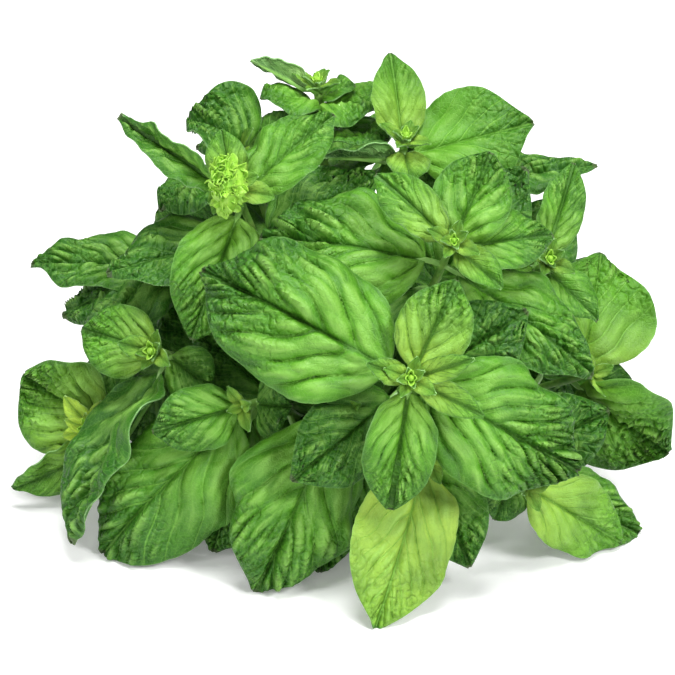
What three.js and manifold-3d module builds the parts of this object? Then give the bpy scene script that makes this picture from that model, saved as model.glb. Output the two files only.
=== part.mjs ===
// A bunch of cut basil, lying on a table with its leafy heads to the front and its cut stems to the back.
// Millimetres, +Z up, the front is -Y. The origin is under the middle of the bunch, on the table.
// Each leafy stem is one solid: a stem with its pairs of leaves. The pale bud at a stem's tip is another.
import * as THREE from "three";
import { mergeVertices } from "three/addons/utils/BufferGeometryUtils.js";
import Module from "manifold-3d";

const wasm = await Module();
wasm.setup();

// Driving sizes of the bunch
const DEG = Math.PI / 180;
const SEEN_FROM_ABOVE = 26 * DEG; // the front view looks down by this
const HEART = new THREE.Vector3(-0.5, -18, 60); // middle of the leafy head
const GATHER_Y = 50; // the stems run side by side from here back
const CUT_Y = 122; // mean place of the cut ends
const CUT_SPREAD = 6; // how unevenly the ends were cut
const CUT_SPLAY = 1.3; // how much the bundle widens towards its cut ends
const STEM_FOOT_RADIUS = 2.3;
const STEM_TIP_RADIUS = 1.3;
const STEM_PITCH = 5.1; // between neighbouring stems in the bundle
const STEM_SIDES = 6;
const BLADE_THICK = 0.7;
const RIB_THICK = 1.3;
const PETIOLE_HALF_WIDTH = 1.0;
const PETIOLE_SHARE = 0.1; // of a leaf's length
const TIP_HALF_WIDTH = 0.4;
const CLEARANCE = 0.35; // kept between leaves that pass each other
const SLIVER = 0.08; // facets thinner than this, where solids join, are merged
const PRESSED = 0.6; // a leaf that reaches the table is pressed flat by up to this

// Directions of the front view. The places of heads and leaf tips are given as seen in it: [right, up,
// nearer], in mm from HEART.
const RIGHT = new THREE.Vector3(1, 0, 0);
const UP = new THREE.Vector3(0, Math.sin(SEEN_FROM_ABOVE), Math.cos(SEEN_FROM_ABOVE));
const NEAR = new THREE.Vector3(0, -Math.cos(SEEN_FROM_ABOVE), Math.sin(SEEN_FROM_ABOVE));

function seen([right, up, nearer]) {
  return new THREE.Vector3()
    .addScaledVector(RIGHT, right)
    .addScaledVector(UP, up)
    .addScaledVector(NEAR, nearer);
}

// The leafy stems, front ones first. slot is [column, row, stems in that row] in the bundle of cut stems,
// head is where the stem's tip is, aim is where it points, bud is the size of its bud, lower is how far
// under the head its lower leaves begin. A leaf is [right, up, nearer, wide, below, droop, fold, cup,
// roll]: the place of its tip, its width, how far under the head it grows, how far its midrib bends back
// over its length, the angle its halves are folded up by, the curl of its edges (+ up) and its turn about
// its own length. Angles are in degrees.
const STEMS = [
  {
    name: "front", slot: [2, 1, 5], head: [25, -14, 88], aim: [0.02, 0.06, 1], bud: 5, lower: 36,
    leaves: [
      [-48, 24, 66, 54, 9, 40, 4, -30, 0],
      [85, -47, 62, 48, 9, 40, 6, -30, 0],
      [41, 20, 84, 26, 4, 24, 12, -20, 0],
      [18, -60, 72, 26, 4, 24, 28, -16, 0],
      [50, -27, 90, 11, 2.5, 20, 20, -10, 0],
      [10, -9, 94, 9, 2.5, 20, 20, -10, 0],
      [49, -7, 92, 9, 3, 20, 20, -10, 0],
    ],
  },
  {
    name: "upper_right", slot: [3, 1, 5], head: [40, 33, 62], aim: [0.1, 0.25, 1], bud: 4, lower: 40,
    leaves: [
      [13, 57, 54, 18, 4, 24, 22, -10, 0],
      [57, 17, 64, 13, 4, 22, 24, -10, 0],
      [54, 65, 48, 28, 9, 24, 14, -16, 0],
      [76, 36, 44, 22, 9, 24, 12, -16, 0],
      [-28, 36, 40, 52, 22, 28, 6, -36, 0],
      [90, -13, 46, 34, 22, 24, 10, -20, 0],
    ],
  },
  {
    name: "upper_left", slot: [1, 1, 5], head: [-37, 53, 44], aim: [-0.2, 0.3, 1], bud: 16, lower: 38,
    leaves: [
      [-77, 78, 28, 18, 12, -10, 56, 0, -30],
      [-1, 79, 28, 26, 12, 22, 10, -20, 0],
      [-51, -1, 40, 32, 16, 30, 10, -16, -24],
      [-41, 73, 42, 15, 6, 50, 10, -20, 0],
    ],
  },
  {
    name: "low_front", slot: [3, 0, 6], head: [32, -42, 58], aim: [0.05, -0.3, 1], bud: 0, lower: 34,
    leaves: [
      [13, -101, 70, 37, 8, 26, 8, -20, 0],
      [46, -80, 52, 28, 14, 20, 10, -20, 0],
    ],
  },
  {
    name: "low_middle", slot: [2, 0, 6], head: [2, -24, 60], aim: [0.1, -0.2, 1], bud: 0, lower: 34,
    leaves: [
      [-29, -90, 48, 51, 8, 44, 6, -50, 0],
      [2, -84, 44, 36, 16, 26, 8, -20, 0],
    ],
  },
  {
    name: "low_left", slot: [1, 0, 6], head: [-33, -24, 54], aim: [-0.35, -0.15, 1], bud: 0, lower: 34,
    leaves: [
      [-84, -77, 22, 54, 12, 50, 6, -56, 0],
      [-65, -33, 50, 24, 4, 30, 10, -26, 0],
      [-16, -24, 50, 26, 12, 20, 10, -10, 0],
      [-40, -79, 34, 36, 16, 26, 8, -20, 0],
    ],
  },
  {
    name: "left", slot: [0, 1, 5], head: [-64, -5, 32], aim: [-0.5, 0.1, 1], bud: 6, lower: 36,
    leaves: [
      [-91, 3, 22, 26, 6, 20, 14, -10, 0],
      [-92, -74, 24, 36, 12, 16, 24, 0, 28],
      [-44, -18, 26, 20, 8, 20, 10, -10, 0],
      [-77, -2, 35, 9, 3, 20, 20, -10, 0],
      [-74, -38, -4, 24, 14, 16, 10, -10, 0],
    ],
  },
  {
    name: "far_left", slot: [0, 0, 6], head: [-87, -33, 4], aim: [-0.7, 0.1, 1], bud: 7, lower: 34,
    leaves: [
      [-113, -13, -6, 38, 8, 14, 8, 20, 0],
      [-77, -5, 4, 18, 6, 14, 10, 10, 0],
      [-118, -52, -10, 19, 14, 30, 12, 0, -60],
    ],
  },
  {
    name: "right", slot: [4, 1, 5], head: [74, 27, 26], aim: [0.3, 0.3, 1], bud: 5, lower: 36,
    leaves: [
      [84, 62, 16, 17, 5, 10, 20, -10, 0],
      [92, 6, 24, 16, 6, 20, 14, -10, 0],
      [52, 36, 26, 18, 10, 20, 10, -10, 0],
    ],
  },
  {
    name: "far_right", slot: [5, 0, 6], head: [90, -13, 16], aim: [0.5, 0.1, 1], bud: 0, lower: 34,
    leaves: [
      [94, 31, 6, 47, 8, 10, 6, 30, 0],
      [118, -42, 4, 46, 14, 16, 20, -10, 72],
      [106, -17, 0, 18, 18, 14, 10, -10, 0],
    ],
  },
  {
    name: "low_right", slot: [4, 0, 6], head: [66, -52, 48], aim: [0.5, -0.3, 1], bud: 0, lower: 34,
    leaves: [
      [101, -73, 18, 28, 6, 18, 8, -20, 0],
      [109, -70, 6, 28, 14, 10, 10, -10, -24],
      [55, -64, 40, 20, 10, 16, 8, -10, 0],
    ],
  },
  {
    name: "top_right", slot: [2, 2, 4], head: [24, 70, 8], aim: [0.15, 0.9, 1], bud: 5, lower: 50,
    leaves: [
      [19, 102, -2, 20, 5, 10, 14, 0, 0],
      [70, 77, 2, 38, 8, 8, 10, -10, 26],
      [-7, 65, 14, 24, 8, 14, 10, 0, 50],
      [24, 58, 18, 16, 5, 24, 16, -10, 0],
      [93, 63, -8, 26, 30, 10, 10, -10, 0],
      [36, 68, -8, 30, 36, 16, 8, -10, 0],
    ],
  },
  {
    name: "top_middle", slot: [1, 3, 3], head: [-7, 90, -10], aim: [-0.1, 1, 0.7], bud: 5, lower: 36,
    leaves: [
      [-31, 100, -12, 12, 3, 10, 20, 0, 70],
      [-27, 87, -2, 26, 8, 20, 10, -20, 0],
      [14, 82, 0, 30, 8, 24, 10, -20, 0],
      [18, 72, 2, 26, 18, 20, 10, -10, 0],
      [-6, 74, 8, 20, 9, 24, 16, -10, 0],
      [6, 91, -8, 16, 5, 16, 12, -10, 0],
      [20, 62, -12, 22, 34, 16, 8, -10, 0],
    ],
  },
  {
    name: "top_left", slot: [1, 2, 4], head: [-34, 68, 0], aim: [-0.3, 0.8, 0.8], bud: 0, lower: 36,
    leaves: [
      [-54, 79, 2, 38, 6, 90, 10, 30, 0],
      [-63, 47, 18, 34, 14, 20, 10, -10, 0],
      [-16, 80, -4, 20, 8, 20, 10, -10, 0],
    ],
  },
  {
    name: "behind_left", slot: [0, 2, 4], head: [-62, 28, 0], aim: [-0.8, 0.3, 0.6], bud: 0, lower: 34,
    leaves: [
      [-110, 27, -6, 27, 8, 10, 10, -10, 10],
      [-99, 10, 4, 44, 14, 50, 6, -50, 0],
      [-66, 48, -6, 24, 10, 20, 10, -10, 0],
    ],
  },
  {
    name: "back_left", slot: [0, 3, 3], head: [-48, 30, -50], aim: [-0.8, 0.8, -0.1], bud: 5, lower: 8,
    leaves: [],
  },
  {
    name: "back_right", slot: [3, 2, 4], head: [56, 34, -44], aim: [0.8, 0.8, -0.1], bud: 5, lower: 8,
    leaves: [],
  },
  {
    name: "back_top", slot: [2, 3, 3], head: [6, 62, -58], aim: [0.1, 1, -0.4], bud: 5, lower: 8,
    leaves: [],
  },
];

// The lower leaves, which fill the inside and the back of the bunch, grow in pairs this far apart.
const PAIR_STEP = 24;
const LOWER_LONG = [44, 60];
const LOWER_WIDE = 0.62; // of its length
const BARE_FOOT = 42; // the stems carry no leaf this near the gathering

const UNMOVED = { lift: 0, turn: 0 };

// Seeded draws between 0 and 1, the same in every run.
let seed = 20211;
function draw() {
  seed = (seed * 16807) % 2147483647;
  return seed / 2147483647;
}

function between([low, high]) {
  return low + (high - low) * draw();
}

// A closed solid through rings of points. A ring runs along its upper side and back along its lower one.
function loft(rings) {
  const around = rings[0].length;
  const half = around / 2;
  const faces = [];
  for (let i = 0; i + 1 < rings.length; i++) {
    for (let j = 0; j < around; j++) {
      const k = (j + 1) % around;
      const [a, b, c, d] = [i * around + j, i * around + k, (i + 1) * around + k, (i + 1) * around + j];
      // The two faces of a thin blade are split along the same diagonal, or they would cross.
      if (j < half) faces.push([a, b, c], [a, c, d]);
      else faces.push([a, b, d], [b, c, d]);
    }
  }
  const last = (rings.length - 1) * around;
  for (let j = 0; j + 1 < half; j++) {
    const [a, b, c, d] = [j, j + 1, around - 2 - j, around - 1 - j];
    faces.push([a, c, b], [a, d, c]);
    faces.push([last + a, last + b, last + c], [last + a, last + c, last + d]);
  }
  const geometry = new THREE.BufferGeometry();
  const points = rings.flat().flatMap((p) => [p.x, p.y, p.z]);
  geometry.setAttribute("position", new THREE.Float32BufferAttribute(points, 3));
  geometry.setIndex(faces.flat());
  return solidFrom(geometry);
}

function solidFrom(geometry) {
  const merged = mergeVertices(geometry, 1e-4);
  const made = new wasm.Manifold(
    new wasm.Mesh({
      numProp: 3,
      vertProperties: new Float32Array(merged.attributes.position.array),
      triVerts: new Uint32Array(merged.index.array),
    }),
  );
  return made;
}

function geometryOf(solid) {
  const mesh = solid.getMesh();
  const points = new Float32Array(mesh.numVert * 3);
  for (let i = 0; i < mesh.numVert; i++) {
    points.set(mesh.vertProperties.subarray(i * mesh.numProp, i * mesh.numProp + 3), i * 3);
  }
  const geometry = new THREE.BufferGeometry();
  geometry.setAttribute("position", new THREE.BufferAttribute(points, 3));
  geometry.setIndex(new THREE.BufferAttribute(mesh.triVerts, 1));
  return geometry;
}

// Where a stem runs: straight in the bundle, then one curve from the gathering to its head.
function stemPath(stem) {
  const [column, row, inRow] = stem.slot;
  const x = (column - (inRow - 1) / 2) * STEM_PITCH;
  const z = STEM_FOOT_RADIUS * Math.cos(30 * DEG) - 0.1 + row * STEM_PITCH * Math.sin(60 * DEG);
  const gather = new THREE.Vector3(x, GATHER_Y, z);
  const uneven = CUT_SPREAD * Math.sin(3.1 * column + 1.7 * row);
  const cut = new THREE.Vector3(x * CUT_SPLAY, CUT_Y + uneven, z);
  const head = HEART.clone().add(seen(stem.head));
  const aim = seen(stem.aim).normalize();
  const reach = gather.distanceTo(head);
  const curve = new THREE.CubicBezierCurve3(
    gather,
    gather.clone().add(new THREE.Vector3(0, -0.34 * reach, 0)),
    head.clone().addScaledVector(aim, -0.34 * reach),
    head,
  );
  const length = curve.getLength();
  // The point and the direction of the stem some way below its head.
  const at = (below) => {
    const share = Math.max(0, 1 - below / length);
    return { point: curve.getPointAt(share), along: curve.getTangentAt(share) };
  };
  return { cut, curve, length, at };
}

function stemSolid(path) {
  const stations = 9;
  const points = [path.cut];
  for (let i = 0; i <= stations; i++) points.push(path.curve.getPointAt(i / stations));
  const rings = points.map((point, i) => {
    const before = points[Math.max(i - 1, 0)];
    const after = points[Math.min(i + 1, points.length - 1)];
    const along = after.clone().sub(before).normalize();
    const side = new THREE.Vector3(1, 0, 0).addScaledVector(along, -along.x).normalize();
    const up = along.clone().cross(side);
    const radius = STEM_FOOT_RADIUS + (STEM_TIP_RADIUS - STEM_FOOT_RADIUS) * (i / (points.length - 1));
    const ring = [];
    for (let j = 0; j < STEM_SIDES; j++) {
      const angle = (j / STEM_SIDES) * 2 * Math.PI;
      ring.push(
        point
          .clone()
          .addScaledVector(side, radius * Math.cos(angle))
          .addScaledVector(up, radius * Math.sin(angle)),
      );
    }
    return ring;
  });
  return loft(rings);
}

// Half the width of a blade, as a share of its widest, at a share of its length: egg-shaped, with a point.
const BASE_POWER = 0.56;
const TIP_POWER = 0.7;
const WIDEST = BASE_POWER / (BASE_POWER + TIP_POWER);
function outline(share) {
  const full = WIDEST ** BASE_POWER * (1 - WIDEST) ** TIP_POWER;
  return (share ** BASE_POWER * (1 - share) ** TIP_POWER) / full;
}

// A leaf's midrib, a plain arc: its place, its direction and the way the blade faces, at equal steps to
// the tip.
const STEPS = 24;
function midrib(path, leaf, shift) {
  const { point, along } = path.at(leaf.below);
  const chord = leaf.tip ? leaf.tip.clone().sub(point) : leaf.chord(along);
  const hinge = chord.clone().cross(along).normalize();
  chord.applyAxisAngle(hinge, shift.lift * DEG).applyAxisAngle(along, shift.turn * DEG);
  const straight = chord.clone().normalize();
  const bulge = along
    .clone()
    .addScaledVector(straight, -along.dot(straight))
    .normalize()
    .applyAxisAngle(straight, leaf.roll * DEG);
  const bend = (leaf.droop * DEG) / 2;
  const total = chord.length() * (bend / Math.sin(bend));
  const places = [];
  const place = point.clone();
  for (let i = 0; i <= STEPS; i++) {
    const angle = bend * (1 - (2 * i) / STEPS);
    places.push({
      place: place.clone(),
      way: straight.clone().multiplyScalar(Math.cos(angle)).addScaledVector(bulge, Math.sin(angle)),
      face: bulge.clone().multiplyScalar(Math.cos(angle)).addScaledVector(straight, -Math.sin(angle)),
    });
    const half = bend * (1 - (2 * i + 1) / STEPS);
    place.addScaledVector(straight, (Math.cos(half) * total) / STEPS);
    place.addScaledVector(bulge, (Math.sin(half) * total) / STEPS);
  }
  return { places, total };
}

// How far the edge and the fields between the side ribs stand off the smooth blade, as shares of its width.
const EDGE_WAVE = 0.05;
const PUCKER = 0.02;
const TEETH = 0.04;

// The rings of a leaf. extra is added all round, to test for clearance.
function leafRings(path, leaf, shift, extra = 0, bladeOnly = false) {
  const { places, total } = midrib(path, leaf, shift);
  const petiole = PETIOLE_SHARE * total;
  const rows = [];
  if (!bladeOnly) rows.push([0, -1, Math.min(PETIOLE_HALF_WIDTH, 0.3 * leaf.wide), RIB_THICK]);
  leaf.rows.forEach((share, row) => {
    const from = bladeOnly && share === 0 ? 0.1 : share;
    const least = share < 0.5 ? Math.min(PETIOLE_HALF_WIDTH, 0.3 * leaf.wide) : TIP_HALF_WIDTH;
    const half = Math.max((leaf.wide / 2) * outline(from) * (1 + TEETH * (-1) ** row), least);
    rows.push([petiole + (total - petiole) * from, row, half, share === 0 ? RIB_THICK : BLADE_THICK]);
  });
  return rows.map(([distance, row, half, thick]) => {
    const at = Math.min((distance / total) * STEPS, STEPS - 1e-9);
    const step = Math.floor(at);
    const [a, b] = [places[step], places[step + 1]];
    const part = at - step;
    const place = a.place.clone().lerp(b.place, part);
    const way = a.way.clone().lerp(b.way, part).normalize();
    const face = a.face.clone().lerp(b.face, part).normalize();
    const side = way.clone().cross(face);
    const curl = (leaf.cup * DEG) / (leaf.wide / 2);
    const upper = [];
    const lower = [];
    for (const v of leaf.columns) {
      const t = Math.abs(v) * half;
      const start = row < 0 ? 0 : leaf.fold * DEG;
      const end = start + curl * t;
      const flat = Math.abs(curl) < 1e-6;
      const across = flat ? t * Math.cos(start) : (Math.sin(end) - Math.sin(start)) / curl;
      const rise = flat ? t * Math.sin(start) : (Math.cos(start) - Math.cos(end)) / curl;
      let off = 0;
      if (Math.abs(v) === 1) off = EDGE_WAVE * 2 * half * Math.sin(2.6 * row + leaf.wide + v);
      else if (v !== 0) off = PUCKER * 2 * half * (-1) ** row;
      const sign = Math.sign(v);
      const middle = place
        .clone()
        .addScaledVector(side, sign * across)
        .addScaledVector(face, rise + off);
      const normal = face
        .clone()
        .multiplyScalar(Math.cos(end))
        .addScaledVector(side, -sign * Math.sin(end));
      const deep = (v === 0 ? Math.max(thick, RIB_THICK * 0.8) : thick) / 2 + extra;
      upper.push(middle.clone().addScaledVector(normal, deep));
      lower.push(middle.clone().addScaledVector(normal, -deep));
    }
    return [...upper, ...lower.reverse()];
  });
}

// Gives a leaf as many facets as its size needs.
function facets(long, hidden) {
  if (hidden) return { rows: [0, 0.3, 0.68, 1], columns: [-1, 0, 1] };
  if (long > 44) return { rows: [0, 0.12, 0.32, 0.55, 0.79, 1], columns: [-1, -0.5, 0, 0.5, 1] };
  if (long > 26) return { rows: [0, 0.18, 0.44, 0.74, 1], columns: [-1, -0.5, 0, 0.5, 1] };
  return { rows: [0, 0.28, 0.64, 1], columns: [-1, 0, 1] };
}

function listedLeaf(path, [right, up, nearer, wide, below, droop, fold, cup, roll]) {
  const tip = HEART.clone().add(seen([right, up, nearer]));
  const long = tip.distanceTo(path.at(below).point);
  return { tip, wide, below, droop, fold, cup, roll, ...facets(long, false) };
}

// A direction from its turn round a stem and its lift towards the stem's tip, both in degrees.
function around(along, turn, lift) {
  return RIGHT.clone()
    .multiplyScalar(Math.cos(turn * DEG))
    .addScaledVector(UP, Math.sin(turn * DEG))
    .applyQuaternion(new THREE.Quaternion().setFromUnitVectors(NEAR, along))
    .multiplyScalar(Math.cos(lift * DEG))
    .addScaledVector(along, Math.sin(lift * DEG));
}

function lowerLeaf(turn, lift, long, below, droop, roll) {
  const chord = (along) => around(along, turn, lift).multiplyScalar(long);
  return { chord, wide: long * LOWER_WIDE, below, droop, fold: 8, cup: -20, roll, ...facets(long, true) };
}

// The bud at a stem's tip: two pairs of tiny leaves still closed round each other, so it is four-sided
// with hollows.
const BUD_GAP = 0.4;
const BUD_PROFILE = [[0, 0.16], [0.22, 0.34], [0.5, 0.38], [0.8, 0.22], [1, 0.05]]; // [height, radius]
const BUD_HOLLOW = 0.7;
function closedBud(path, size) {
  const { point, along } = path.at(0);
  const rings = BUD_PROFILE.map(([height, radius]) => {
    const middle = point.clone().addScaledVector(along, BUD_GAP + height * size);
    return [0, 1, 2, 3, 4, 5, 6, 7].map((k) => {
      const far = radius * size * (k % 2 ? BUD_HOLLOW : 1);
      return middle.clone().addScaledVector(around(along, 45 * k, 0), far);
    });
  });
  return loft(rings);
}

// A large bud has opened into tiers of four cupped bracts round a core, each tier turned half way to the
// next.
const OPEN_BUD = 10;
const BRACT_ROOT = 0.12; // how far out from the middle a bract begins
const BUD_TIERS = [
  { at: 0.1, long: 0.46, wide: 0.46, lift: 34 },
  { at: 0.3, long: 0.4, wide: 0.4, lift: 50 },
  { at: 0.5, long: 0.36, wide: 0.3, lift: 68 },
];
function openBud(path, size) {
  const { point, along } = path.at(0);
  const solids = [closedBud(path, 0.7 * size)];
  BUD_TIERS.forEach((tier, k) => {
    for (let i = 0; i < 4; i++) {
      const turn = 90 * i + 45 * k + 20;
      const start = point
        .clone()
        .addScaledVector(along, BUD_GAP + tier.at * size)
        .addScaledVector(around(along, turn, 0), BRACT_ROOT * size);
      const bract = {
        chord: () => around(along, turn, tier.lift).multiplyScalar(tier.long * size),
        wide: tier.wide * size, below: 0, droop: -34, fold: 24, cup: 30, roll: 0,
        rows: [0.5, 1], columns: [-1, 0, 1],
      };
      solids.push(loft(leafRings({ at: () => ({ point: start, along }) }, bract, UNMOVED)));
    }
  });
  return wasm.Manifold.union(solids).simplify(SLIVER);
}

// How a leaf may give way to its neighbours: rings of small turns sideways and towards or from the stem's
// tip.
const SHIFT_STEP = 5;
function shifts(rings) {
  const made = [UNMOVED];
  for (let ring = 1; ring <= rings; ring++) {
    for (let i = 0; i < 8; i++) {
      made.push({
        lift: SHIFT_STEP * ring * Math.sin(i * 45 * DEG),
        turn: SHIFT_STEP * ring * Math.cos(i * 45 * DEG),
      });
    }
  }
  return made;
}

function boxesMeet(a, b) {
  return [0, 1, 2].every((i) => a.min[i] < b.max[i] && b.min[i] < a.max[i]);
}

function crosses(solid, others) {
  const box = solid.boundingBox();
  return others.some((other) => boxesMeet(box, other.box) && solid.intersect(other.solid).volume() > 1e-6);
}

// Whether the end of a lower leaf stays inside the head of the bunch, as seen from the front, and behind
// its stem's own tip or in the back half.
const HEAD_HALF_WIDTH = 106;
const HEAD_HALF_HEIGHT = 84;
const LOWER_BEHIND = 14;
const BACK_HALF = -15;
function insideHead(stem, leaf, shift) {
  const { places } = midrib(stem.path, leaf, shift);
  const from = places[STEPS].place.clone().sub(HEART);
  const wide = from.dot(RIGHT) / HEAD_HALF_WIDTH;
  const high = from.dot(UP) / HEAD_HALF_HEIGHT;
  return wide ** 2 + high ** 2 < 1 && from.dot(NEAR) < Math.max(stem.head[2] - LOWER_BEHIND, BACK_HALF);
}

// Places a leaf in the first of its positions where it clears everything that is already there, or leaves
// it out.
const placed = []; // { solid, box, owner, blade }
function settle(stem, leaf, rings, lower = false) {
  const strangers = placed.filter((p) => p.owner !== stem.name);
  const ownBlades = placed.filter((p) => p.owner === stem.name && p.blade).map((p) => p.blade);
  for (const shift of shifts(rings)) {
    if (lower && !insideHead(stem, leaf, shift)) continue;
    const whole = loft(leafRings(stem.path, leaf, shift, CLEARANCE));
    if (whole.boundingBox().min[2] < -PRESSED - CLEARANCE) continue;
    if (crosses(whole, strangers)) continue;
    const blade = loft(leafRings(stem.path, leaf, shift, CLEARANCE / 2, true));
    if (crosses(blade, ownBlades)) continue;
    const solid = loft(leafRings(stem.path, leaf, shift));
    const kept = { solid: blade, box: blade.boundingBox() };
    placed.push({ solid, box: solid.boundingBox(), owner: stem.name, blade: kept });
    stem.solids.push(solid);
    return;
  }
}

// Every stem and bud is placed first, then the leaves that give the bunch its face, then the lower ones.
for (const stem of STEMS) {
  stem.path = stemPath(stem);
  const solid = stemSolid(stem.path);
  stem.solids = [solid];
  placed.push({ solid, box: solid.boundingBox(), owner: stem.name });
}
for (const stem of STEMS.filter((one) => one.bud)) {
  stem.budSolid = (stem.bud > OPEN_BUD ? openBud : closedBud)(stem.path, stem.bud);
  placed.push({ solid: stem.budSolid, box: stem.budSolid.boundingBox(), owner: "bud" });
}
for (const stem of STEMS) {
  for (const row of stem.leaves) settle(stem, listedLeaf(stem.path, row), 7);
}
for (const stem of STEMS) {
  for (let below = stem.lower, pair = 0; stem.path.length - below > BARE_FOOT; below += PAIR_STEP, pair++) {
    for (const half of [0, 180]) {
      const turn = 45 + 90 * pair + half + between([-20, 20]);
      const lift = between([5, 30]);
      const long = between(LOWER_LONG);
      const droop = between([15, 40]);
      const roll = between([-15, 15]);
      settle(stem, lowerLeaf(turn, lift, long, below, droop, roll), 6, true);
    }
  }
}

// What lies above the table, in one piece.
const table = solidFrom(new THREE.BoxGeometry(600, 600, 300).deleteAttribute("normal").deleteAttribute("uv"));
const aboveTable = table.translate([0, 0, 150]);

function trimmed(solid) {
  const pieces = solid.intersect(aboveTable).simplify(SLIVER).decompose();
  return pieces.reduce((most, piece) => (piece.volume() > most.volume() ? piece : most));
}

const leafGreen = new THREE.MeshStandardMaterial({ color: 0x3f9a2c, roughness: 0.45, metalness: 0 });
const budGreen = new THREE.MeshStandardMaterial({ color: 0xa4c83c, roughness: 0.5, metalness: 0 });

const bunch = new THREE.Group();
bunch.name = "basil_bunch";
for (const stem of STEMS) {
  const mesh = new THREE.Mesh(geometryOf(trimmed(wasm.Manifold.union(stem.solids))), leafGreen);
  mesh.name = "stem_" + stem.name;
  bunch.add(mesh);
  if (!stem.bud) continue;
  const bud = new THREE.Mesh(geometryOf(stem.budSolid), budGreen);
  bud.name = "bud_" + stem.name;
  bunch.add(bud);
}
export default bunch;
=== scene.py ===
# %% [markdown]
# # A bunch of cut basil
# The real thing is about eighteen leafy stems, laid down together with their tips to the front.
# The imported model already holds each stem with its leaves, and each bud, as a plain faceted solid in
# the right place. This lesson keeps those places and dresses every solid with finer leaves, stems and
# buds. It begins by loading the solids as a fixed frame. Sizes below are in millimetres, as a grower
# would measure them, and become metres only when a mesh is filled.

import math
from types import SimpleNamespace

import bpy
import numpy as np
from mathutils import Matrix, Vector, noise
from mathutils.kdtree import KDTree


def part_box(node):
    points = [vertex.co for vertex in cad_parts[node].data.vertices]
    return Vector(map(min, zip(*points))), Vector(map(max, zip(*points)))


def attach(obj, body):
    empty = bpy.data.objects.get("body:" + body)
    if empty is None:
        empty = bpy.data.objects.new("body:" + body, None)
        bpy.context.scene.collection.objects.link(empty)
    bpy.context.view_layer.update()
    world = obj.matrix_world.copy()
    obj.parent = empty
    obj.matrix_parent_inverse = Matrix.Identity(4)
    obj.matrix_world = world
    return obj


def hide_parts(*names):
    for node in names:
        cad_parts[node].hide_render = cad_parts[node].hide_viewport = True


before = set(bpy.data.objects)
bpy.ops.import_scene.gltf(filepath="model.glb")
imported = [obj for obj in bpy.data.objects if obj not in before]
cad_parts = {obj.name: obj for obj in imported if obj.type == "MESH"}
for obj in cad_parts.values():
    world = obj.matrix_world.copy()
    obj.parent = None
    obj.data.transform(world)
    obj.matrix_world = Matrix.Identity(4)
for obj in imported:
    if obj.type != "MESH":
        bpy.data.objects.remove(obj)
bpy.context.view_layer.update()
MM = 0.001
print("frame:", len(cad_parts), "nodes")

# %% [markdown]
# The camera comes first, because the bunch is only right if it is right from the photograph's side.
# It looks 26 degrees down at the middle of the leafy head, from two metres, with a long lens, so there
# is hardly any perspective. The two directions across the picture are kept too: heads and leaf tips
# are placed as right, up and nearer in that view, which is how they are seen.

# %% Camera and view directions
SEEN_FROM_ABOVE = math.radians(26)
HEART = np.array([-0.5, -18.0, 60.0])
RIGHT = np.array([1.0, 0.0, 0.0])
UP = np.array([0.0, math.sin(SEEN_FROM_ABOVE), math.cos(SEEN_FROM_ABOVE)])
NEAR = np.array([0.0, -math.cos(SEEN_FROM_ABOVE), math.sin(SEEN_FROM_ABOVE)])
CAMERA_FAR = 2000.0
PICTURE_WIDE = 241.0  # what the picture's width takes in at the heart of the bunch
SENSOR = 36.0
BLIND = 50.0  # nothing nearer to the camera than this is taken


def seen(place):
    return place[0] * RIGHT + place[1] * UP + place[2] * NEAR


lens = bpy.data.cameras.new("picture_camera")
lens.sensor_width = SENSOR
lens.lens = SENSOR * CAMERA_FAR / PICTURE_WIDE
lens.clip_start = BLIND * MM
camera = bpy.data.objects.new("picture_camera", lens)
camera.location = Vector((HEART + CAMERA_FAR * NEAR) * MM)
camera.rotation_euler = (math.pi / 2 - SEEN_FROM_ABOVE, 0.0, 0.0)
bpy.context.scene.collection.objects.link(camera)
bpy.context.scene.camera = camera
print("camera at", [round(c, 3) for c in camera.location], "lens", round(lens.lens, 1), "mm")

# %% [markdown]
# A bunch is a list of stems. Each has its slot in the bundle of cut stems, the place of its tip, the way
# the tip points, the size of its bud, and how far below the tip the plain lower leaves begin. A leaf
# that gives the bunch its face has the place of its tip, its width, how far below the stem's tip it
# grows, how far its midrib bends back, how much its halves are folded up, how its edges curl, its turn
# about its own length, and its youth: 0 is an old dark leaf, 1 a young yellow-green one.

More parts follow.
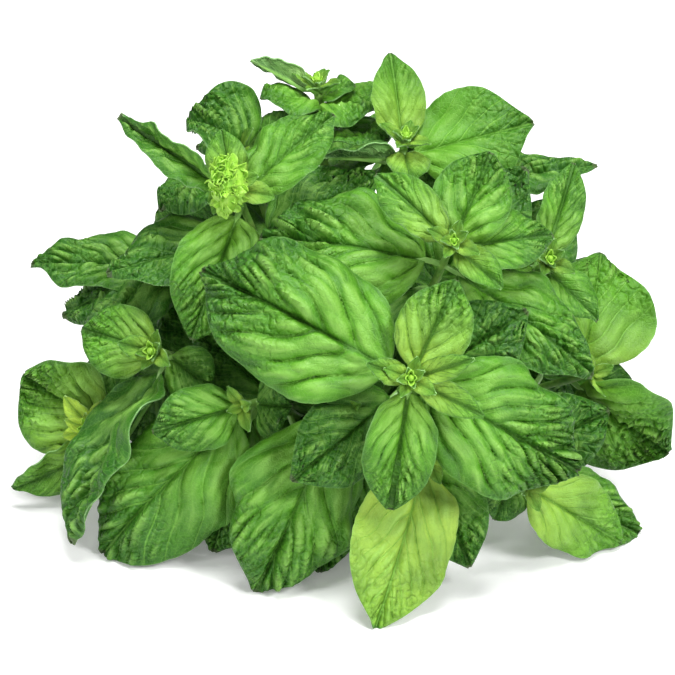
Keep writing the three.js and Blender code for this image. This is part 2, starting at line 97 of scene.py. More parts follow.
# %% The leafy stems
STEMS = {
    "front": {
        "slot": (2, 1, 5), "head": (25, -14, 88), "aim": (0.02, 0.06, 1), "bud": 5, "lower": 36,
        "leaves": [
            (-48, 24, 66, 54, 9, 40, 4, -30, 0, 0.34),
            (85, -47, 62, 48, 9, 40, 6, -30, 0, 0.33),
            (41, 20, 84, 26, 4, 24, 12, -20, 0, 0.66),
            (18, -60, 72, 26, 4, 24, 28, -16, 0, 0.44),
            (50, -27, 90, 11, 2.5, 20, 20, -10, 0, 0.66),
            (10, -9, 94, 9, 2.5, 20, 20, -10, 0, 0.7),
            (49, -7, 92, 9, 3, 20, 20, -10, 0, 0.7),
        ],
    },
    "upper_right": {
        "slot": (3, 1, 5), "head": (40, 33, 62), "aim": (0.1, 0.25, 1), "bud": 4, "lower": 40,
        "leaves": [
            (13, 57, 54, 18, 4, 24, 22, -10, 0, 0.58),
            (57, 17, 64, 13, 4, 22, 24, -10, 0, 0.6),
            (54, 65, 48, 28, 9, 24, 14, -16, 0, 0.42),
            (76, 36, 44, 22, 9, 24, 12, -16, 0, 0.45),
            (-28, 36, 40, 52, 22, 28, 6, -36, 0, 0.36),
            (90, -13, 46, 34, 22, 24, 10, -20, 0, 0.34),
        ],
    },
    "upper_left": {
        "slot": (1, 1, 5), "head": (-37, 53, 44), "aim": (-0.2, 0.3, 1), "bud": 16, "lower": 38,
        "leaves": [
            (-77, 78, 28, 18, 12, -10, 56, 0, -30, 0.3),
            (-1, 79, 28, 26, 12, 22, 10, -20, 0, 0.4),
            (-51, -1, 40, 32, 16, 30, 10, -16, -24, 0.44),
            (-41, 73, 42, 15, 6, 50, 10, -20, 0, 0.66),
        ],
    },
    "low_front": {
        "slot": (3, 0, 6), "head": (32, -42, 58), "aim": (0.05, -0.3, 1), "bud": 0, "lower": 34,
        "leaves": [
            (13, -101, 70, 37, 8, 26, 8, -20, 0, 0.86),
            (46, -80, 52, 28, 14, 20, 10, -20, 0, 0.3),
        ],
    },
    "low_middle": {
        "slot": (2, 0, 6), "head": (2, -24, 60), "aim": (0.1, -0.2, 1), "bud": 0, "lower": 34,
        "leaves": [
            (-29, -90, 48, 51, 8, 44, 6, -50, 0, 0.34),
            (2, -84, 44, 36, 16, 26, 8, -20, 0, 0.18),
        ],
    },
    "low_left": {
        "slot": (1, 0, 6), "head": (-33, -24, 54), "aim": (-0.35, -0.15, 1), "bud": 0, "lower": 34,
        "leaves": [
            (-84, -77, 22, 54, 12, 50, 6, -56, 0, 0.26),
            (-65, -33, 50, 24, 4, 30, 10, -26, 0, 0.34),
            (-16, -24, 50, 26, 12, 20, 10, -10, 0, 0.2),
            (-40, -79, 34, 36, 16, 26, 8, -20, 0, 0.14),
        ],
    },
    "left": {
        "slot": (0, 1, 5), "head": (-64, -5, 32), "aim": (-0.5, 0.1, 1), "bud": 6, "lower": 36,
        "leaves": [
            (-91, 3, 22, 26, 6, 20, 14, -10, 0, 0.56),
            (-92, -74, 24, 36, 12, 16, 24, 0, 28, 0.02),
            (-44, -18, 26, 20, 8, 20, 10, -10, 0, 0.4),
            (-77, -2, 35, 9, 3, 20, 20, -10, 0, 0.7),
            (-74, -38, -4, 24, 14, 16, 10, -10, 0, 0.05),
        ],
    },
    "far_left": {
        "slot": (0, 0, 6), "head": (-87, -33, 4), "aim": (-0.7, 0.1, 1), "bud": 7, "lower": 34,
        "leaves": [
            (-113, -13, -6, 38, 8, 14, 8, 20, 0, 0.62),
            (-77, -5, 4, 18, 6, 14, 10, 10, 0, 0.3),
            (-118, -52, -10, 19, 14, 30, 12, 0, -60, 0.62),
        ],
    },
    "right": {
        "slot": (4, 1, 5), "head": (74, 27, 26), "aim": (0.3, 0.3, 1), "bud": 5, "lower": 36,
        "leaves": [
            (84, 62, 16, 17, 5, 10, 20, -10, 0, 0.5),
            (92, 6, 24, 16, 6, 20, 14, -10, 0, 0.4),
            (52, 36, 26, 18, 10, 20, 10, -10, 0, 0.4),
        ],
    },
    "far_right": {
        "slot": (5, 0, 6), "head": (90, -13, 16), "aim": (0.5, 0.1, 1), "bud": 0, "lower": 34,
        "leaves": [
            (94, 31, 6, 47, 8, 10, 6, 30, 0, 0.56),
            (118, -42, 4, 46, 14, 16, 20, -10, 72, 0.44),
            (106, -17, 0, 18, 18, 14, 10, -10, 0, 0.1),
        ],
    },
    "low_right": {
        "slot": (4, 0, 6), "head": (66, -52, 48), "aim": (0.5, -0.3, 1), "bud": 0, "lower": 34,
        "leaves": [
            (101, -73, 18, 28, 6, 18, 8, -20, 0, 0.66),
            (109, -70, 6, 28, 14, 10, 10, -10, -24, 0.5),
            (55, -64, 40, 20, 10, 16, 8, -10, 0, 0.2),
        ],
    },
    "top_right": {
        "slot": (2, 2, 4), "head": (24, 70, 8), "aim": (0.15, 0.9, 1), "bud": 5, "lower": 50,
        "leaves": [
            (19, 102, -2, 20, 5, 10, 14, 0, 0, 0.64),
            (70, 77, 2, 38, 8, 8, 10, -10, 26, 0.36),
            (-7, 65, 14, 24, 8, 14, 10, 0, 50, 0.3),
            (24, 58, 18, 16, 5, 24, 16, -10, 0, 0.7),
            (93, 63, -8, 26, 30, 10, 10, -10, 0, 0.2),
            (36, 68, -8, 30, 36, 16, 8, -10, 0, 0.3),
        ],
    },
    "top_middle": {
        "slot": (1, 3, 3), "head": (-7, 90, -10), "aim": (-0.1, 1, 0.7), "bud": 5, "lower": 36,
        "leaves": [
            (-31, 100, -12, 12, 3, 10, 20, 0, 70, 0.55),
            (-27, 87, -2, 26, 8, 20, 10, -20, 0, 0.42),
            (14, 82, 0, 30, 8, 24, 10, -20, 0, 0.4),
            (18, 72, 2, 26, 18, 20, 10, -10, 0, 0.35),
            (-6, 74, 8, 20, 9, 24, 16, -10, 0, 0.45),
            (6, 91, -8, 16, 5, 16, 12, -10, 0, 0.4),
            (20, 62, -12, 22, 34, 16, 8, -10, 0, 0.3),
        ],
    },
    "top_left": {
        "slot": (1, 2, 4), "head": (-34, 68, 0), "aim": (-0.3, 0.8, 0.8), "bud": 0, "lower": 36,
        "leaves": [
            (-54, 79, 2, 38, 6, 90, 10, 30, 0, 0.14),
            (-63, 47, 18, 34, 14, 20, 10, -10, 0, 0.22),
            (-16, 80, -4, 20, 8, 20, 10, -10, 0, 0.36),
        ],
    },
    "behind_left": {
        "slot": (0, 2, 4), "head": (-62, 28, 0), "aim": (-0.8, 0.3, 0.6), "bud": 0, "lower": 34,
        "leaves": [
            (-110, 27, -6, 27, 8, 10, 10, -10, 10, 0.24),
            (-99, 10, 4, 44, 14, 50, 6, -50, 0, 0.02),
            (-66, 48, -6, 24, 10, 20, 10, -10, 0, 0.3),
        ],
    },
    "back_left": {
        "slot": (0, 3, 3), "head": (-48, 30, -50), "aim": (-0.8, 0.8, -0.1), "bud": 5, "lower": 8,
        "leaves": [],
    },
    "back_right": {
        "slot": (3, 2, 4), "head": (56, 34, -44), "aim": (0.8, 0.8, -0.1), "bud": 5, "lower": 8,
        "leaves": [],
    },
    "back_top": {
        "slot": (2, 3, 3), "head": (6, 62, -58), "aim": (0.1, 1, -0.4), "bud": 5, "lower": 8,
        "leaves": [],
    },
}
LEAF_WORDS = ("right", "up", "nearer", "wide", "below", "droop", "fold", "cup", "roll", "youth")
# A few leaves are smoother than the rest, with pale veins: how much, by stem and place in its list.
SMOOTHER = {
    "low_front": {0: 0.5}, "far_right": {0: 0.5}, "low_right": {0: 0.4}, "low_left": {0: 0.4},
    "low_middle": {0: 0.2}, "top_right": {0: 0.4, 1: 0.5}, "upper_left": {1: 0.2, 2: 0.2},
}
print("stems:", len(STEMS), "with", sum(len(stem["leaves"]) for stem in STEMS.values()), "leaves of the face")

# %% [markdown]
# A stem lies straight in the bundle and then bends in one smooth curve to its tip. A cubic curve with
# its handles along the bundle and along the tip's direction does that, as a curve object would. Here
# it is worked out in numbers, because each leaf has to know the exact point and direction of its stem.

# %% The run of a stem
GATHER_Y = 50  # from here to their cut ends the stems lie straight
CUT_Y = 122
CUT_SPREAD = 6  # the cut ends lie this far to and fro
CUT_SPLAY = 1.3
FOOT_RADIUS = 2.3
TIP_RADIUS = 1.3
STEM_PITCH = 5.1
CUT_SCATTER = (3.1, 1.7)  # how the cut ends differ from column to column and from row to row
FLAT_SIDE = math.cos(math.radians(30))  # where a six-sided stem's flat side lies, of its radius
NESTED = math.sin(math.radians(60))  # each row of stems lies in the hollows of the row below
PRESSED = 0.1  # how far the lowest stems' flat sides are pressed onto the table
HANDLE = 0.34  # of the way from the gathering to the head
RUN_POINTS = 201


def unit(vector):
    return vector / np.linalg.norm(vector)


def stem_run(stem):
    column, row, in_row = stem["slot"]
    x = (column - (in_row - 1) / 2) * STEM_PITCH
    z = FOOT_RADIUS * FLAT_SIDE - PRESSED + row * STEM_PITCH * NESTED
    gather = np.array([x, GATHER_Y, z])
    scatter = math.sin(CUT_SCATTER[0] * column + CUT_SCATTER[1] * row)
    cut = np.array([x * CUT_SPLAY, CUT_Y + CUT_SPREAD * scatter, z])
    head = HEART + seen(stem["head"])
    aim = unit(seen(stem["aim"]))
    reach = np.linalg.norm(gather - head)
    corners = [gather, gather - (0, HANDLE * reach, 0), head - HANDLE * reach * aim, head]
    steps = np.linspace(0, 1, RUN_POINTS)
    points = np.array([curve_point(corners, t) for t in steps])
    travelled = np.concatenate([[0], np.cumsum(np.linalg.norm(np.diff(points, axis=0), axis=1))])
    return {"cut": cut, "corners": corners, "steps": steps, "travelled": travelled, "length": travelled[-1]}


def curve_point(corners, t):
    a, b, c, d = corners
    return (1 - t) ** 3 * a + 3 * t * (1 - t) ** 2 * b + 3 * t * t * (1 - t) * c + t**3 * d


def curve_way(corners, t):
    a, b, c, d = corners
    return unit((1 - t) ** 2 * (b - a) + 2 * t * (1 - t) * (c - b) + t * t * (d - c))


def stem_at(run, below):
    """The point and the direction of a stem some way below its tip."""
    t = np.interp(max(0, run["length"] - below), run["travelled"], run["steps"])
    return curve_point(run["corners"], t), curve_way(run["corners"], t)


for stem in STEMS.values():
    stem["run"] = stem_run(stem)
print("stem lengths in mm:", [round(stem["run"]["length"] + CUT_Y - GATHER_Y) for stem in STEMS.values()])

# %% [markdown]
# A leaf hangs on a plain arc, its midrib. The arc starts on the stem, leaves it along the stem's own
# direction, and bends back over its length by the leaf's droop. Every finer detail is built across
# this arc, so it is written once, for a leaf and for a bract of a bud alike.

# %% The arc of a midrib


def turned(vector, axis, degrees):
    angle = math.radians(degrees)
    along_axis = axis * np.dot(axis, vector) * (1 - math.cos(angle))
    return vector * math.cos(angle) + np.cross(axis, vector) * math.sin(angle) + along_axis


def around(along, turn, lift):
    """A direction from its turn round a stem and its lift towards the stem's tip, in degrees."""
    flat = RIGHT * math.cos(math.radians(turn)) + UP * math.sin(math.radians(turn))
    axis = np.cross(NEAR, along)
    flat = flat + np.cross(axis, flat) + np.cross(axis, np.cross(axis, flat)) / (1 + np.dot(NEAR, along))
    return flat * math.cos(math.radians(lift)) + along * math.sin(math.radians(lift))


def midrib(point, along, leaf, lift=0, turn=0):
    chord = leaf["tip"] - point if "tip" in leaf else leaf["chord"](along)
    hinge = unit(np.cross(chord, along))
    chord = turned(turned(chord, hinge, lift), along, turn)
    straight = unit(chord)
    bulge = turned(unit(along - straight * np.dot(along, straight)), straight, leaf["roll"])
    bend = math.radians(leaf["droop"]) / 2
    total = np.linalg.norm(chord) * bend / math.sin(bend)
    return {"point": point, "straight": straight, "bulge": bulge, "bend": bend, "total": total}


def on_midrib(arc, distance):
    """Place, way to the tip, way the blade faces and way to its side, at these distances."""
    bend, total, straight, bulge = (arc[word] for word in ("bend", "total", "straight", "bulge"))
    angle = (bend * (1 - 2 * distance / total))[:, None]
    scale = total / (2 * bend)
    place = arc["point"] + scale * (
        (math.sin(bend) - np.sin(angle)) * straight + (np.cos(angle) - math.cos(bend)) * bulge
    )
    way = np.cos(angle) * straight + np.sin(angle) * bulge
    face = np.cos(angle) * bulge - np.sin(angle) * straight
    return place, way, face, np.cross(way, face)


first_leaf = dict(zip(LEAF_WORDS, STEMS["front"]["leaves"][0]))
first_leaf["tip"] = HEART + seen([first_leaf[word] for word in LEAF_WORDS[:3]])
first_arc = midrib(*stem_at(STEMS["front"]["run"], first_leaf["below"]), first_leaf)
print("midrib of the first leaf:", round(first_arc["total"], 1), "mm")

# %% [markdown]
# The blade's outline is egg-shaped with a point, widest near two fifths of its length. Across its
# width each half is folded up by a small angle and then curls, mostly downwards. That gives the blade
# its smooth form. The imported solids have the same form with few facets, so their corners are worked
# out here too.

# %% The plain form of a blade
PETIOLE_SHARE = 0.1
PETIOLE_HALF_WIDTH = 1.0
BASE_POWER = 0.56
TIP_POWER = 0.7
WIDEST = BASE_POWER / (BASE_POWER + TIP_POWER)
NARROW_STALK = 0.3  # a narrow leaf's stalk is half this wide, of the blade's width
TIP_HALF = 0.4
EDGE_WAVE = 0.05  # how far the margin stands off the plain form, of the width there
WAVE_PER_ROW = 2.6
PUCKER = 0.02
TEETH = 0.04
BLADE_THICK = 0.7
MIDRIB_THICK = 1.04
NEARLY_FLAT = 1e-6


def outline(share):
    full = WIDEST**BASE_POWER * (1 - WIDEST) ** TIP_POWER
    return share**BASE_POWER * (1 - share) ** TIP_POWER / full


def across_blade(leaf, width_place, fold_share):
    """How far to the side and how far up a blade's point is, and how far the blade is turned there."""
    curl = math.radians(leaf["cup"]) / (leaf["wide"] / 2)
    start = math.radians(leaf["fold"]) * fold_share
    end = start + curl * width_place
    if abs(curl) < NEARLY_FLAT:
        return width_place * np.cos(start), width_place * np.sin(start), end
    return (np.sin(end) - np.sin(start)) / curl, (np.cos(start) - np.cos(end)) / curl, end


def facet_corners(arc, leaf):
    """The corners of the leaf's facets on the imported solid, upper and lower ones, without its stalk."""
    rows, columns = leaf["rows"], leaf["columns"]
    share, v = (grid.ravel() for grid in np.meshgrid(rows[1:], columns, indexing="ij"))
    row = np.repeat(np.arange(1, len(rows)), len(columns))
    least = np.where(share < 0.5, min(PETIOLE_HALF_WIDTH, NARROW_STALK * leaf["wide"]), TIP_HALF)
    half = np.maximum(leaf["wide"] / 2 * outline(share) * (1 + TEETH * (-1.0) ** row), least)
    place, _, face, side = on_midrib(arc, arc["total"] * (PETIOLE_SHARE + (1 - PETIOLE_SHARE) * share))
    across, rise, end = across_blade(leaf, np.abs(v) * half, 1)
    wave = EDGE_WAVE * 2 * half * np.sin(WAVE_PER_ROW * row + leaf["wide"] + v)
    pucker = PUCKER * 2 * half * (-1.0) ** row
    off = np.where(np.abs(v) == 1, wave, np.where(v == 0, 0, pucker))
    sign = np.sign(v)
    middle = place + side * (sign * across)[:, None] + face * (rise + off)[:, None]
    normal = face * np.cos(end)[:, None] - side * (sign * np.sin(end))[:, None]
    deep = np.where(v == 0, MIDRIB_THICK, BLADE_THICK)[:, None] / 2
    return np.concatenate([middle + normal * deep, middle - normal * deep])


print("a blade is widest at", round(WIDEST, 2), "of its length")

# %% [markdown]
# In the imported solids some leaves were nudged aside, so that none passes through another. So each
# leaf's facets are worked out for every nudge, and the nudge whose corners are found in the solid is
# the right one. A tree of the solid's corners finds the nearest one quickly. A lower leaf that fits no
# nudge isn't there.

# %% Find each leaf on its solid
SHIFT_STEP = 5  # degrees from one nudge to the next
SHIFT_RINGS = 7
SHIFT_WAYS = 8
FOUND_WITHIN = 0.12
ENOUGH_FOUND = 0.45  # share of a leaf's corners, because other leaves are fused over some of them
SURELY_FOUND = 0.8
LARGE_LEAF = 44
MIDDLING_LEAF = 26


def shifts():
    """Nudges of a leaf, up and sideways in degrees, from none to the largest."""
    made = [(0, 0)]
    for ring in range(1, SHIFT_RINGS + 1):
        for i in range(SHIFT_WAYS):
            angle = math.radians(360 / SHIFT_WAYS * i)
            made.append((SHIFT_STEP * ring * math.sin(angle), SHIFT_STEP * ring * math.cos(angle)))
    return made


def corner_tree(node):
    corners = {tuple(round(c / MM, 3) for c in vertex.co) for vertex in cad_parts[node].data.vertices}
    tree = KDTree(len(corners))
    for i, corner in enumerate(sorted(corners)):
        tree.insert(corner, i)
    tree.balance()
    return tree


def settled(stem, leaf, tree):
    """The leaf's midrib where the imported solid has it, or None, and the share of its corners found."""
    point, along = stem_at(stem["run"], leaf["below"])
    best, best_found = None, 0
    for lift, turn in SHIFTS:
        arc = midrib(point, along, leaf, lift, turn)
        corners = facet_corners(arc, leaf)
        found = np.mean([tree.find(corner)[2] < FOUND_WITHIN for corner in corners])
        if found > best_found:
            best, best_found = arc, found
        if found > SURELY_FOUND:
            break
    return (best if best_found >= ENOUGH_FOUND else None), best_found


def facets(long, hidden):
    """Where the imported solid's rows and columns of corners lie on a leaf of this length."""
    if hidden:
        return {"rows": [0, 0.3, 0.68, 1], "columns": [-1, 0, 1]}
    if long > LARGE_LEAF:
        return {"rows": [0, 0.12, 0.32, 0.55, 0.79, 1], "columns": [-1, -0.5, 0, 0.5, 1]}
    if long > MIDDLING_LEAF:
        return {"rows": [0, 0.18, 0.44, 0.74, 1], "columns": [-1, -0.5, 0, 0.5, 1]}
    return {"rows": [0, 0.28, 0.64, 1], "columns": [-1, 0, 1]}


SHIFTS = shifts()
for name, stem in STEMS.items():
    tree = corner_tree("stem_" + name)
    stem["tree"] = tree
    stem["grown"] = []
    lost = []
    for number, numbers in enumerate(stem["leaves"]):
        leaf = dict(zip(LEAF_WORDS, numbers))
        leaf["tip"] = HEART + seen(numbers[:3])
        leaf["smooth"] = SMOOTHER.get(name, {}).get(number, 0)
        point, along = stem_at(stem["run"], leaf["below"])
        leaf.update(facets(np.linalg.norm(leaf["tip"] - point), False))
        arc, found = settled(stem, leaf, tree)
        if arc is None:
            lost.append((number, round(float(found), 2)))
            continue
        stem["grown"].append((leaf, arc))
    print(name, "has", len(stem["grown"]), "leaves of the face, not found:", lost)

# %% [markdown]
# The lower leaves fill the inside and the back of the bunch. They grow in pairs down each stem, each
# pair turned a quarter from the last, with a seeded draw for small differences. The draws are the
# same ones, in the same order, as those that made the solids, so each leaf is found where it was put.

# %% The lower leaves
PAIR_STEP = 24
BARE_FOOT = 42
LOWER_WIDE = 0.62
LOWER_FORM = {"fold": 8, "cup": -20, "youth": 0.12, "smooth": 0}
TURN_STRAY = 20
LIFTS = (5, 30)
LENGTHS = (44, 60)
DROOPS = (15, 40)
ROLL_STRAY = 15
DRAW_FACTOR = 16807
DRAW_RANGE = 2147483647
drawn = 20211


def between(low, high):
    global drawn
    drawn = drawn * DRAW_FACTOR % DRAW_RANGE
    return low + (high - low) * drawn / DRAW_RANGE


def lower_leaf(turn, lift, long, below, droop, roll):
    return {
        "chord": lambda along: around(along, turn, lift) * long,
        "wide": long * LOWER_WIDE, "below": below, "droop": droop, "roll": roll,
        **LOWER_FORM, **facets(long, True),
    }


grown, left_out = 0, 0
for stem in STEMS.values():
    below, pair = stem["lower"], 0
    while stem["run"]["length"] - below > BARE_FOOT:
        for half in (0, 180):
            turn = 45 + 90 * pair + half + between(-TURN_STRAY, TURN_STRAY)
            lift = between(*LIFTS)
            long = between(*LENGTHS)
            droop = between(*DROOPS)
            roll = between(-ROLL_STRAY, ROLL_STRAY)
            leaf = lower_leaf(turn, lift, long, below, droop, roll)
            arc, _ = settled(stem, leaf, stem["tree"])
            if arc is None:
                left_out += 1
                continue
            stem["grown"].append((leaf, arc))
            grown += 1
        below += PAIR_STEP
        pair += 1
print("lower leaves:", grown, "there,", left_out, "left out")

# %% [markdown]
# Basil's blade isn't smooth. On each half six or seven side veins run out and forwards from the
# midrib. They lie in furrows, and the tissue between them swells up in pillows. Towards the tip the
# pillows break up into small bubbles. A modifier could push a grid about with a texture, but it
# wouldn't know where the veins are. So each point gets two numbers first: which vein it is near, and
# how far out it is. No vein is quite even, so its course strays by a smooth noise.

# %% The side veins
VEIN_PAIRS = 6.6
UNEVEN_PAIRS = 1.1  # more on one leaf and fewer on the next
BASE_SLANT = 0.62  # how steeply a side vein runs forwards at the base of an old blade
YOUNG_SLANT = 0.7  # more on a young one
MORE_SLANT = 1.9  # and how much more steeply at its tip
FORWARD_CURVE = 0.3  # how a side vein bends on towards the tip
HALVES_APART = 0.1  # the veins of the two halves don't quite meet, in vein distances
WANDER = 0.34  # how far a side vein strays from its even course, in vein distances
WANDER_LONG = 0.3  # size of one stray, of the blade's width
WANDER_FROM = 3.0  # all veins stay in place closer to the midrib than this
OWN_NOISE = {"wander": 11.9, "sway": 7.3, "uneven": 5.7, "crinkle": 3.1}  # so that no two are alike


def noise_over(grid, size, key):
    """A smooth noise over a blade, about -1 to 1, whose hills and hollows are this large in mm."""
    along, across = grid.run / size, grid.side_out / size
    return np.array([noise.noise(Vector((x, y, key))) for x, y in zip(along, across)])


def vein_numbers(leaf, grid, key):
    """How many side veins lie between the leaf's base and each point. It is whole on a vein."""
    pairs = VEIN_PAIRS + UNEVEN_PAIRS * math.sin(2.7 * key)
    slant = BASE_SLANT + YOUNG_SLANT * leaf["youth"]
    from_base = grid.run - slant * grid.out - FORWARD_CURVE * grid.out * grid.out / (leaf["wide"] / 2)
    even = from_base / (1 + MORE_SLANT * grid.out / grid.long) * pairs / grid.long
    wander = noise_over(grid, WANDER_LONG * leaf["wide"], key + OWN_NOISE["wander"])
    wander = wander * np.minimum(1, grid.out / WANDER_FROM)
    return even + HALVES_APART * grid.sign + WANDER * wander


fewest, most = VEIN_PAIRS - UNEVEN_PAIRS, VEIN_PAIRS + UNEVEN_PAIRS
print("side veins on each half:", round(fewest, 1), "to", round(most, 1))

# %% [markdown]
# The swelling is worked out from those two numbers, which later draw the veins as well. A sine that is
# nothing on each vein makes the pillows, and a Voronoi pattern drawn out along the veins makes the
# bubbles. Both fade at the midrib and at the margin. A few leaves are nearly smooth, so theirs is
# turned down.

# %% The swelling between the veins
PILLOW = 0.05  # height of the pillows, of the blade's width
PILLOW_MEAN = 0.5
PILLOW_ROUND = 0.6  # under 1, so that the pillows are broad and the furrows narrow
LUMP = 0.056  # height of the small bubbles, of the blade's width
LUMP_MEAN = 0.4
CELLS_PER_VEIN = 1.7  # small cells from one side vein to the next
CELL_LONG = 0.12  # length of a cell along the veins, of the blade's width
CELL_LEAST = 2.0
CELL_STEEP = 1.6
BUBBLES_FROM = 0.4  # share of the blade where the bubbles begin to take over
BUBBLES_OVER = 0.45
RIDGES = (1.1, -0.45)  # how strong the pillows are at the base, and what the tip adds
BUBBLES = (0.45, 1.4)
PAINTED_PILLOWS = (0.62, -0.5)  # the pillows' share in the relief that the material sees
PAINTED_FURROW = 0.1
EVEN_RELIEF = 0.52  # the relief that the material sees on a smooth leaf
UNEVEN = 0.9
UNEVEN_LONG = 0.35
MIDRIB_FURROW = 0.45
FURROW_HALF_WIDTH = 0.8
FULL_FURROW = 24.0  # a narrower blade has a shallower furrow
BESIDE_MIDRIB = 1.3  # the tissue begins to swell this far from the midrib
RIM_POWER = 6


def midrib_depth(leaf):
    """How far under the plain blade its midrib lies, once the tissue beside it has swelled."""
    furrow = MIDRIB_FURROW * min(1, leaf["wide"] / FULL_FURROW)
    return (PILLOW_MEAN * PILLOW + LUMP_MEAN * LUMP) * leaf["wide"] + furrow


def off_midrib(grid):
    return 1 - np.exp(-((grid.out / BESIDE_MIDRIB) ** 2))


def lumps(count, side_out, size, key):
    """Small uneven cells, drawn out along the veins: 0 on their borders, up to 1 in their middles."""
    heights = np.empty(len(count))
    for i, (x, y) in enumerate(zip(count * CELLS_PER_VEIN, side_out / size)):
        near = noise.voronoi(Vector((x, y, key)))[0]
        heights[i] = min(1, CELL_STEEP * (near[1] - near[0]))
    return heights


def swollen(leaf, grid, count, key):
    """How far the tissue stands off the plain blade, and the relief, 0 to 1, from which the material paints
    shade in the furrows and highlights on the pillows.
    """
    wide = leaf["wide"]
    to_tip = np.clip((grid.share - BUBBLES_FROM) / BUBBLES_OVER, 0, 1)
    held = off_midrib(grid) * (1 - np.abs(grid.v) ** RIM_POWER)
    pillow = np.abs(np.sin(math.pi * count)) ** PILLOW_ROUND * held
    lump = lumps(count, grid.side_out, max(CELL_LEAST, CELL_LONG * wide), key) * held
    furrow = np.exp(-((grid.out / FURROW_HALF_WIDTH) ** 2)) * np.minimum(1, wide / FULL_FURROW)
    uneven = 1 + UNEVEN * noise_over(grid, UNEVEN_LONG * wide, key + OWN_NOISE["uneven"])
    ridges = PILLOW * wide * (pillow - PILLOW_MEAN) * (RIDGES[0] + RIDGES[1] * to_tip) * uneven
    bubbles = LUMP * wide * (lump - LUMP_MEAN) * (BUBBLES[0] + BUBBLES[1] * to_tip)
    swell = (ridges + bubbles) * (1 - leaf["smooth"]) - MIDRIB_FURROW * furrow
    pillows = PAINTED_PILLOWS[0] + PAINTED_PILLOWS[1] * to_tip
    relief = pillows * pillow + (1 - pillows) * lump
    relief = relief + leaf["smooth"] * (EVEN_RELIEF - relief) - PAINTED_FURROW * furrow
    return swell, relief


print("midrib of a 54 mm wide leaf lies", round(midrib_depth({"wide": 54}), 2), "mm deep")

# %% [markdown]
# A real blade also sways as a whole, its margin ripples, and fine crinkles run all over it. Its margin
# has small rounded teeth, and its tip is drawn out. The middle of a blade that would dip into the
# table is laid on it.

# %% Every point of a fine blade
SWAY = 0.06  # how far the whole blade sways up and down, of twice its width
SWAY_LONG = 0.42
SWAY_FROM = 4.0
RIPPLE = 0.022  # how far the margin ripples, of the blade's width
RIPPLE_LONG = 0.4  # one ripple, of the blade's width
CRINKLE = 0.35  # the finest unevenness, in mm
CRINKLE_LONG = 2.6
SCALLOP = 0.35  # how far the rounded teeth stand out, in mm
SCALLOP_STEP = 4.6
TOOTHLESS = 0.12  # share of the blade at its base that has no teeth
TOOTHED_WIDTH = 20.0  # a narrower blade has smaller teeth
TIP_HOLLOW = 0.5  # how much narrower than the plain outline a blade is at its drawn-out tip
TIP_STARTS = 0.66
TIP_HALF_WIDTH = 0.25
BASE_ENDS = 0.05  # up to this share a blade is at least as wide as here
BASE_HALF_WIDTH = 0.8
NARROW_BASE = 0.2
FOLD_GROWS = 0.06  # share of the blade over which its fold opens
OFF_GROWS = 0.1  # share over which all unevenness grows from nothing
LOWEST = 0.35  # a blade's middle stays this far above the table


def blade_half_width(leaf, long, share):
    wide = leaf["wide"]
    teeth = SCALLOP * np.abs(np.sin(math.pi * long * share / SCALLOP_STEP)) * (share > TOOTHLESS)
    teeth = teeth * min(1, wide / TOOTHED_WIDTH)
    drawn_out = 1 - TIP_HOLLOW * np.clip((share - TIP_STARTS) / (1 - TIP_STARTS), 0, 1) ** 2
    half = np.maximum(wide / 2 * outline(share) * drawn_out + teeth * (1 - share), TIP_HALF_WIDTH)
    at_base = np.maximum(half, min(BASE_HALF_WIDTH, NARROW_BASE * wide))
    return np.where(share < BASE_ENDS, at_base, half)


def blade_grid(arc, leaf, share, v):
    """A blade's points while it is flat: share is 0 to 1 along it, v -1 to 1 across, the rest in mm."""
    long = arc["total"] * (1 - PETIOLE_SHARE)
    half = blade_half_width(leaf, long, share)
    sign = np.where(v < 0, -1.0, 1.0)
    out = np.abs(v) * half
    return SimpleNamespace(
        share=share, v=v, long=long, run=long * share, half=half, sign=sign, out=out, side_out=out * sign
    )


def waved(leaf, grid, key):
    """How far the margin's waves, the sway and the crinkles stand off the plain blade."""
    wide = leaf["wide"]
    row = np.interp(grid.share, leaf["rows"], np.arange(len(leaf["rows"])))
    wave = EDGE_WAVE * 2 * grid.half * np.sin(WAVE_PER_ROW * row + wide + grid.sign) * grid.v**4
    ripples = np.sin(2 * math.pi * grid.run / (RIPPLE_LONG * wide) + key * grid.sign)
    ripple = RIPPLE * wide * ripples * np.abs(grid.v) ** 3
    crinkle = CRINKLE * noise_over(grid, CRINKLE_LONG, key + OWN_NOISE["crinkle"]) * off_midrib(grid)
    sway = noise_over(grid, SWAY_LONG * wide, key + OWN_NOISE["sway"])
    sway = sway * np.minimum(1, grid.out / SWAY_FROM)
    return wave + ripple + crinkle + SWAY * 2 * wide * sway


def blade_points(arc, leaf, grid, key):
    """Places, vein numbers, millimetres and relief of a blade's points."""
    place, _, face, side = on_midrib(arc, arc["total"] * PETIOLE_SHARE + grid.run)
    across, rise, end = across_blade(leaf, grid.out, np.minimum(1, grid.share / FOLD_GROWS))
    count = vein_numbers(leaf, grid, key)
    swell, relief = swollen(leaf, grid, count, key)
    off = (swell + waved(leaf, grid, key)) * np.minimum(1, grid.share / OFF_GROWS)
    turn, sign = end[:, None], grid.sign[:, None]
    spot = place + side * sign * across[:, None] + face * rise[:, None]
    spot = spot + (face * np.cos(turn) - side * sign * np.sin(turn)) * off[:, None]
    spot[:, 2] = np.maximum(spot[:, 2], LOWEST)
    return spot, np.column_stack([count, np.abs(grid.v)]), np.column_stack([grid.run, grid.side_out]), relief


print("teeth stand out", SCALLOP, "mm, ripples", round(RIPPLE * 54, 2), "mm on a 54 mm wide leaf")

# %% [markdown]
# By hand a leaf is a grid that is bent into shape, and a stalk is a cylinder with rings cut round it.
# Both are modelled once as blanks: a grid for each size of leaf, and a closed tube whose end has an
# inner ring for the pith. Each leaf and stalk is then a copy of a blank with its own mesh.

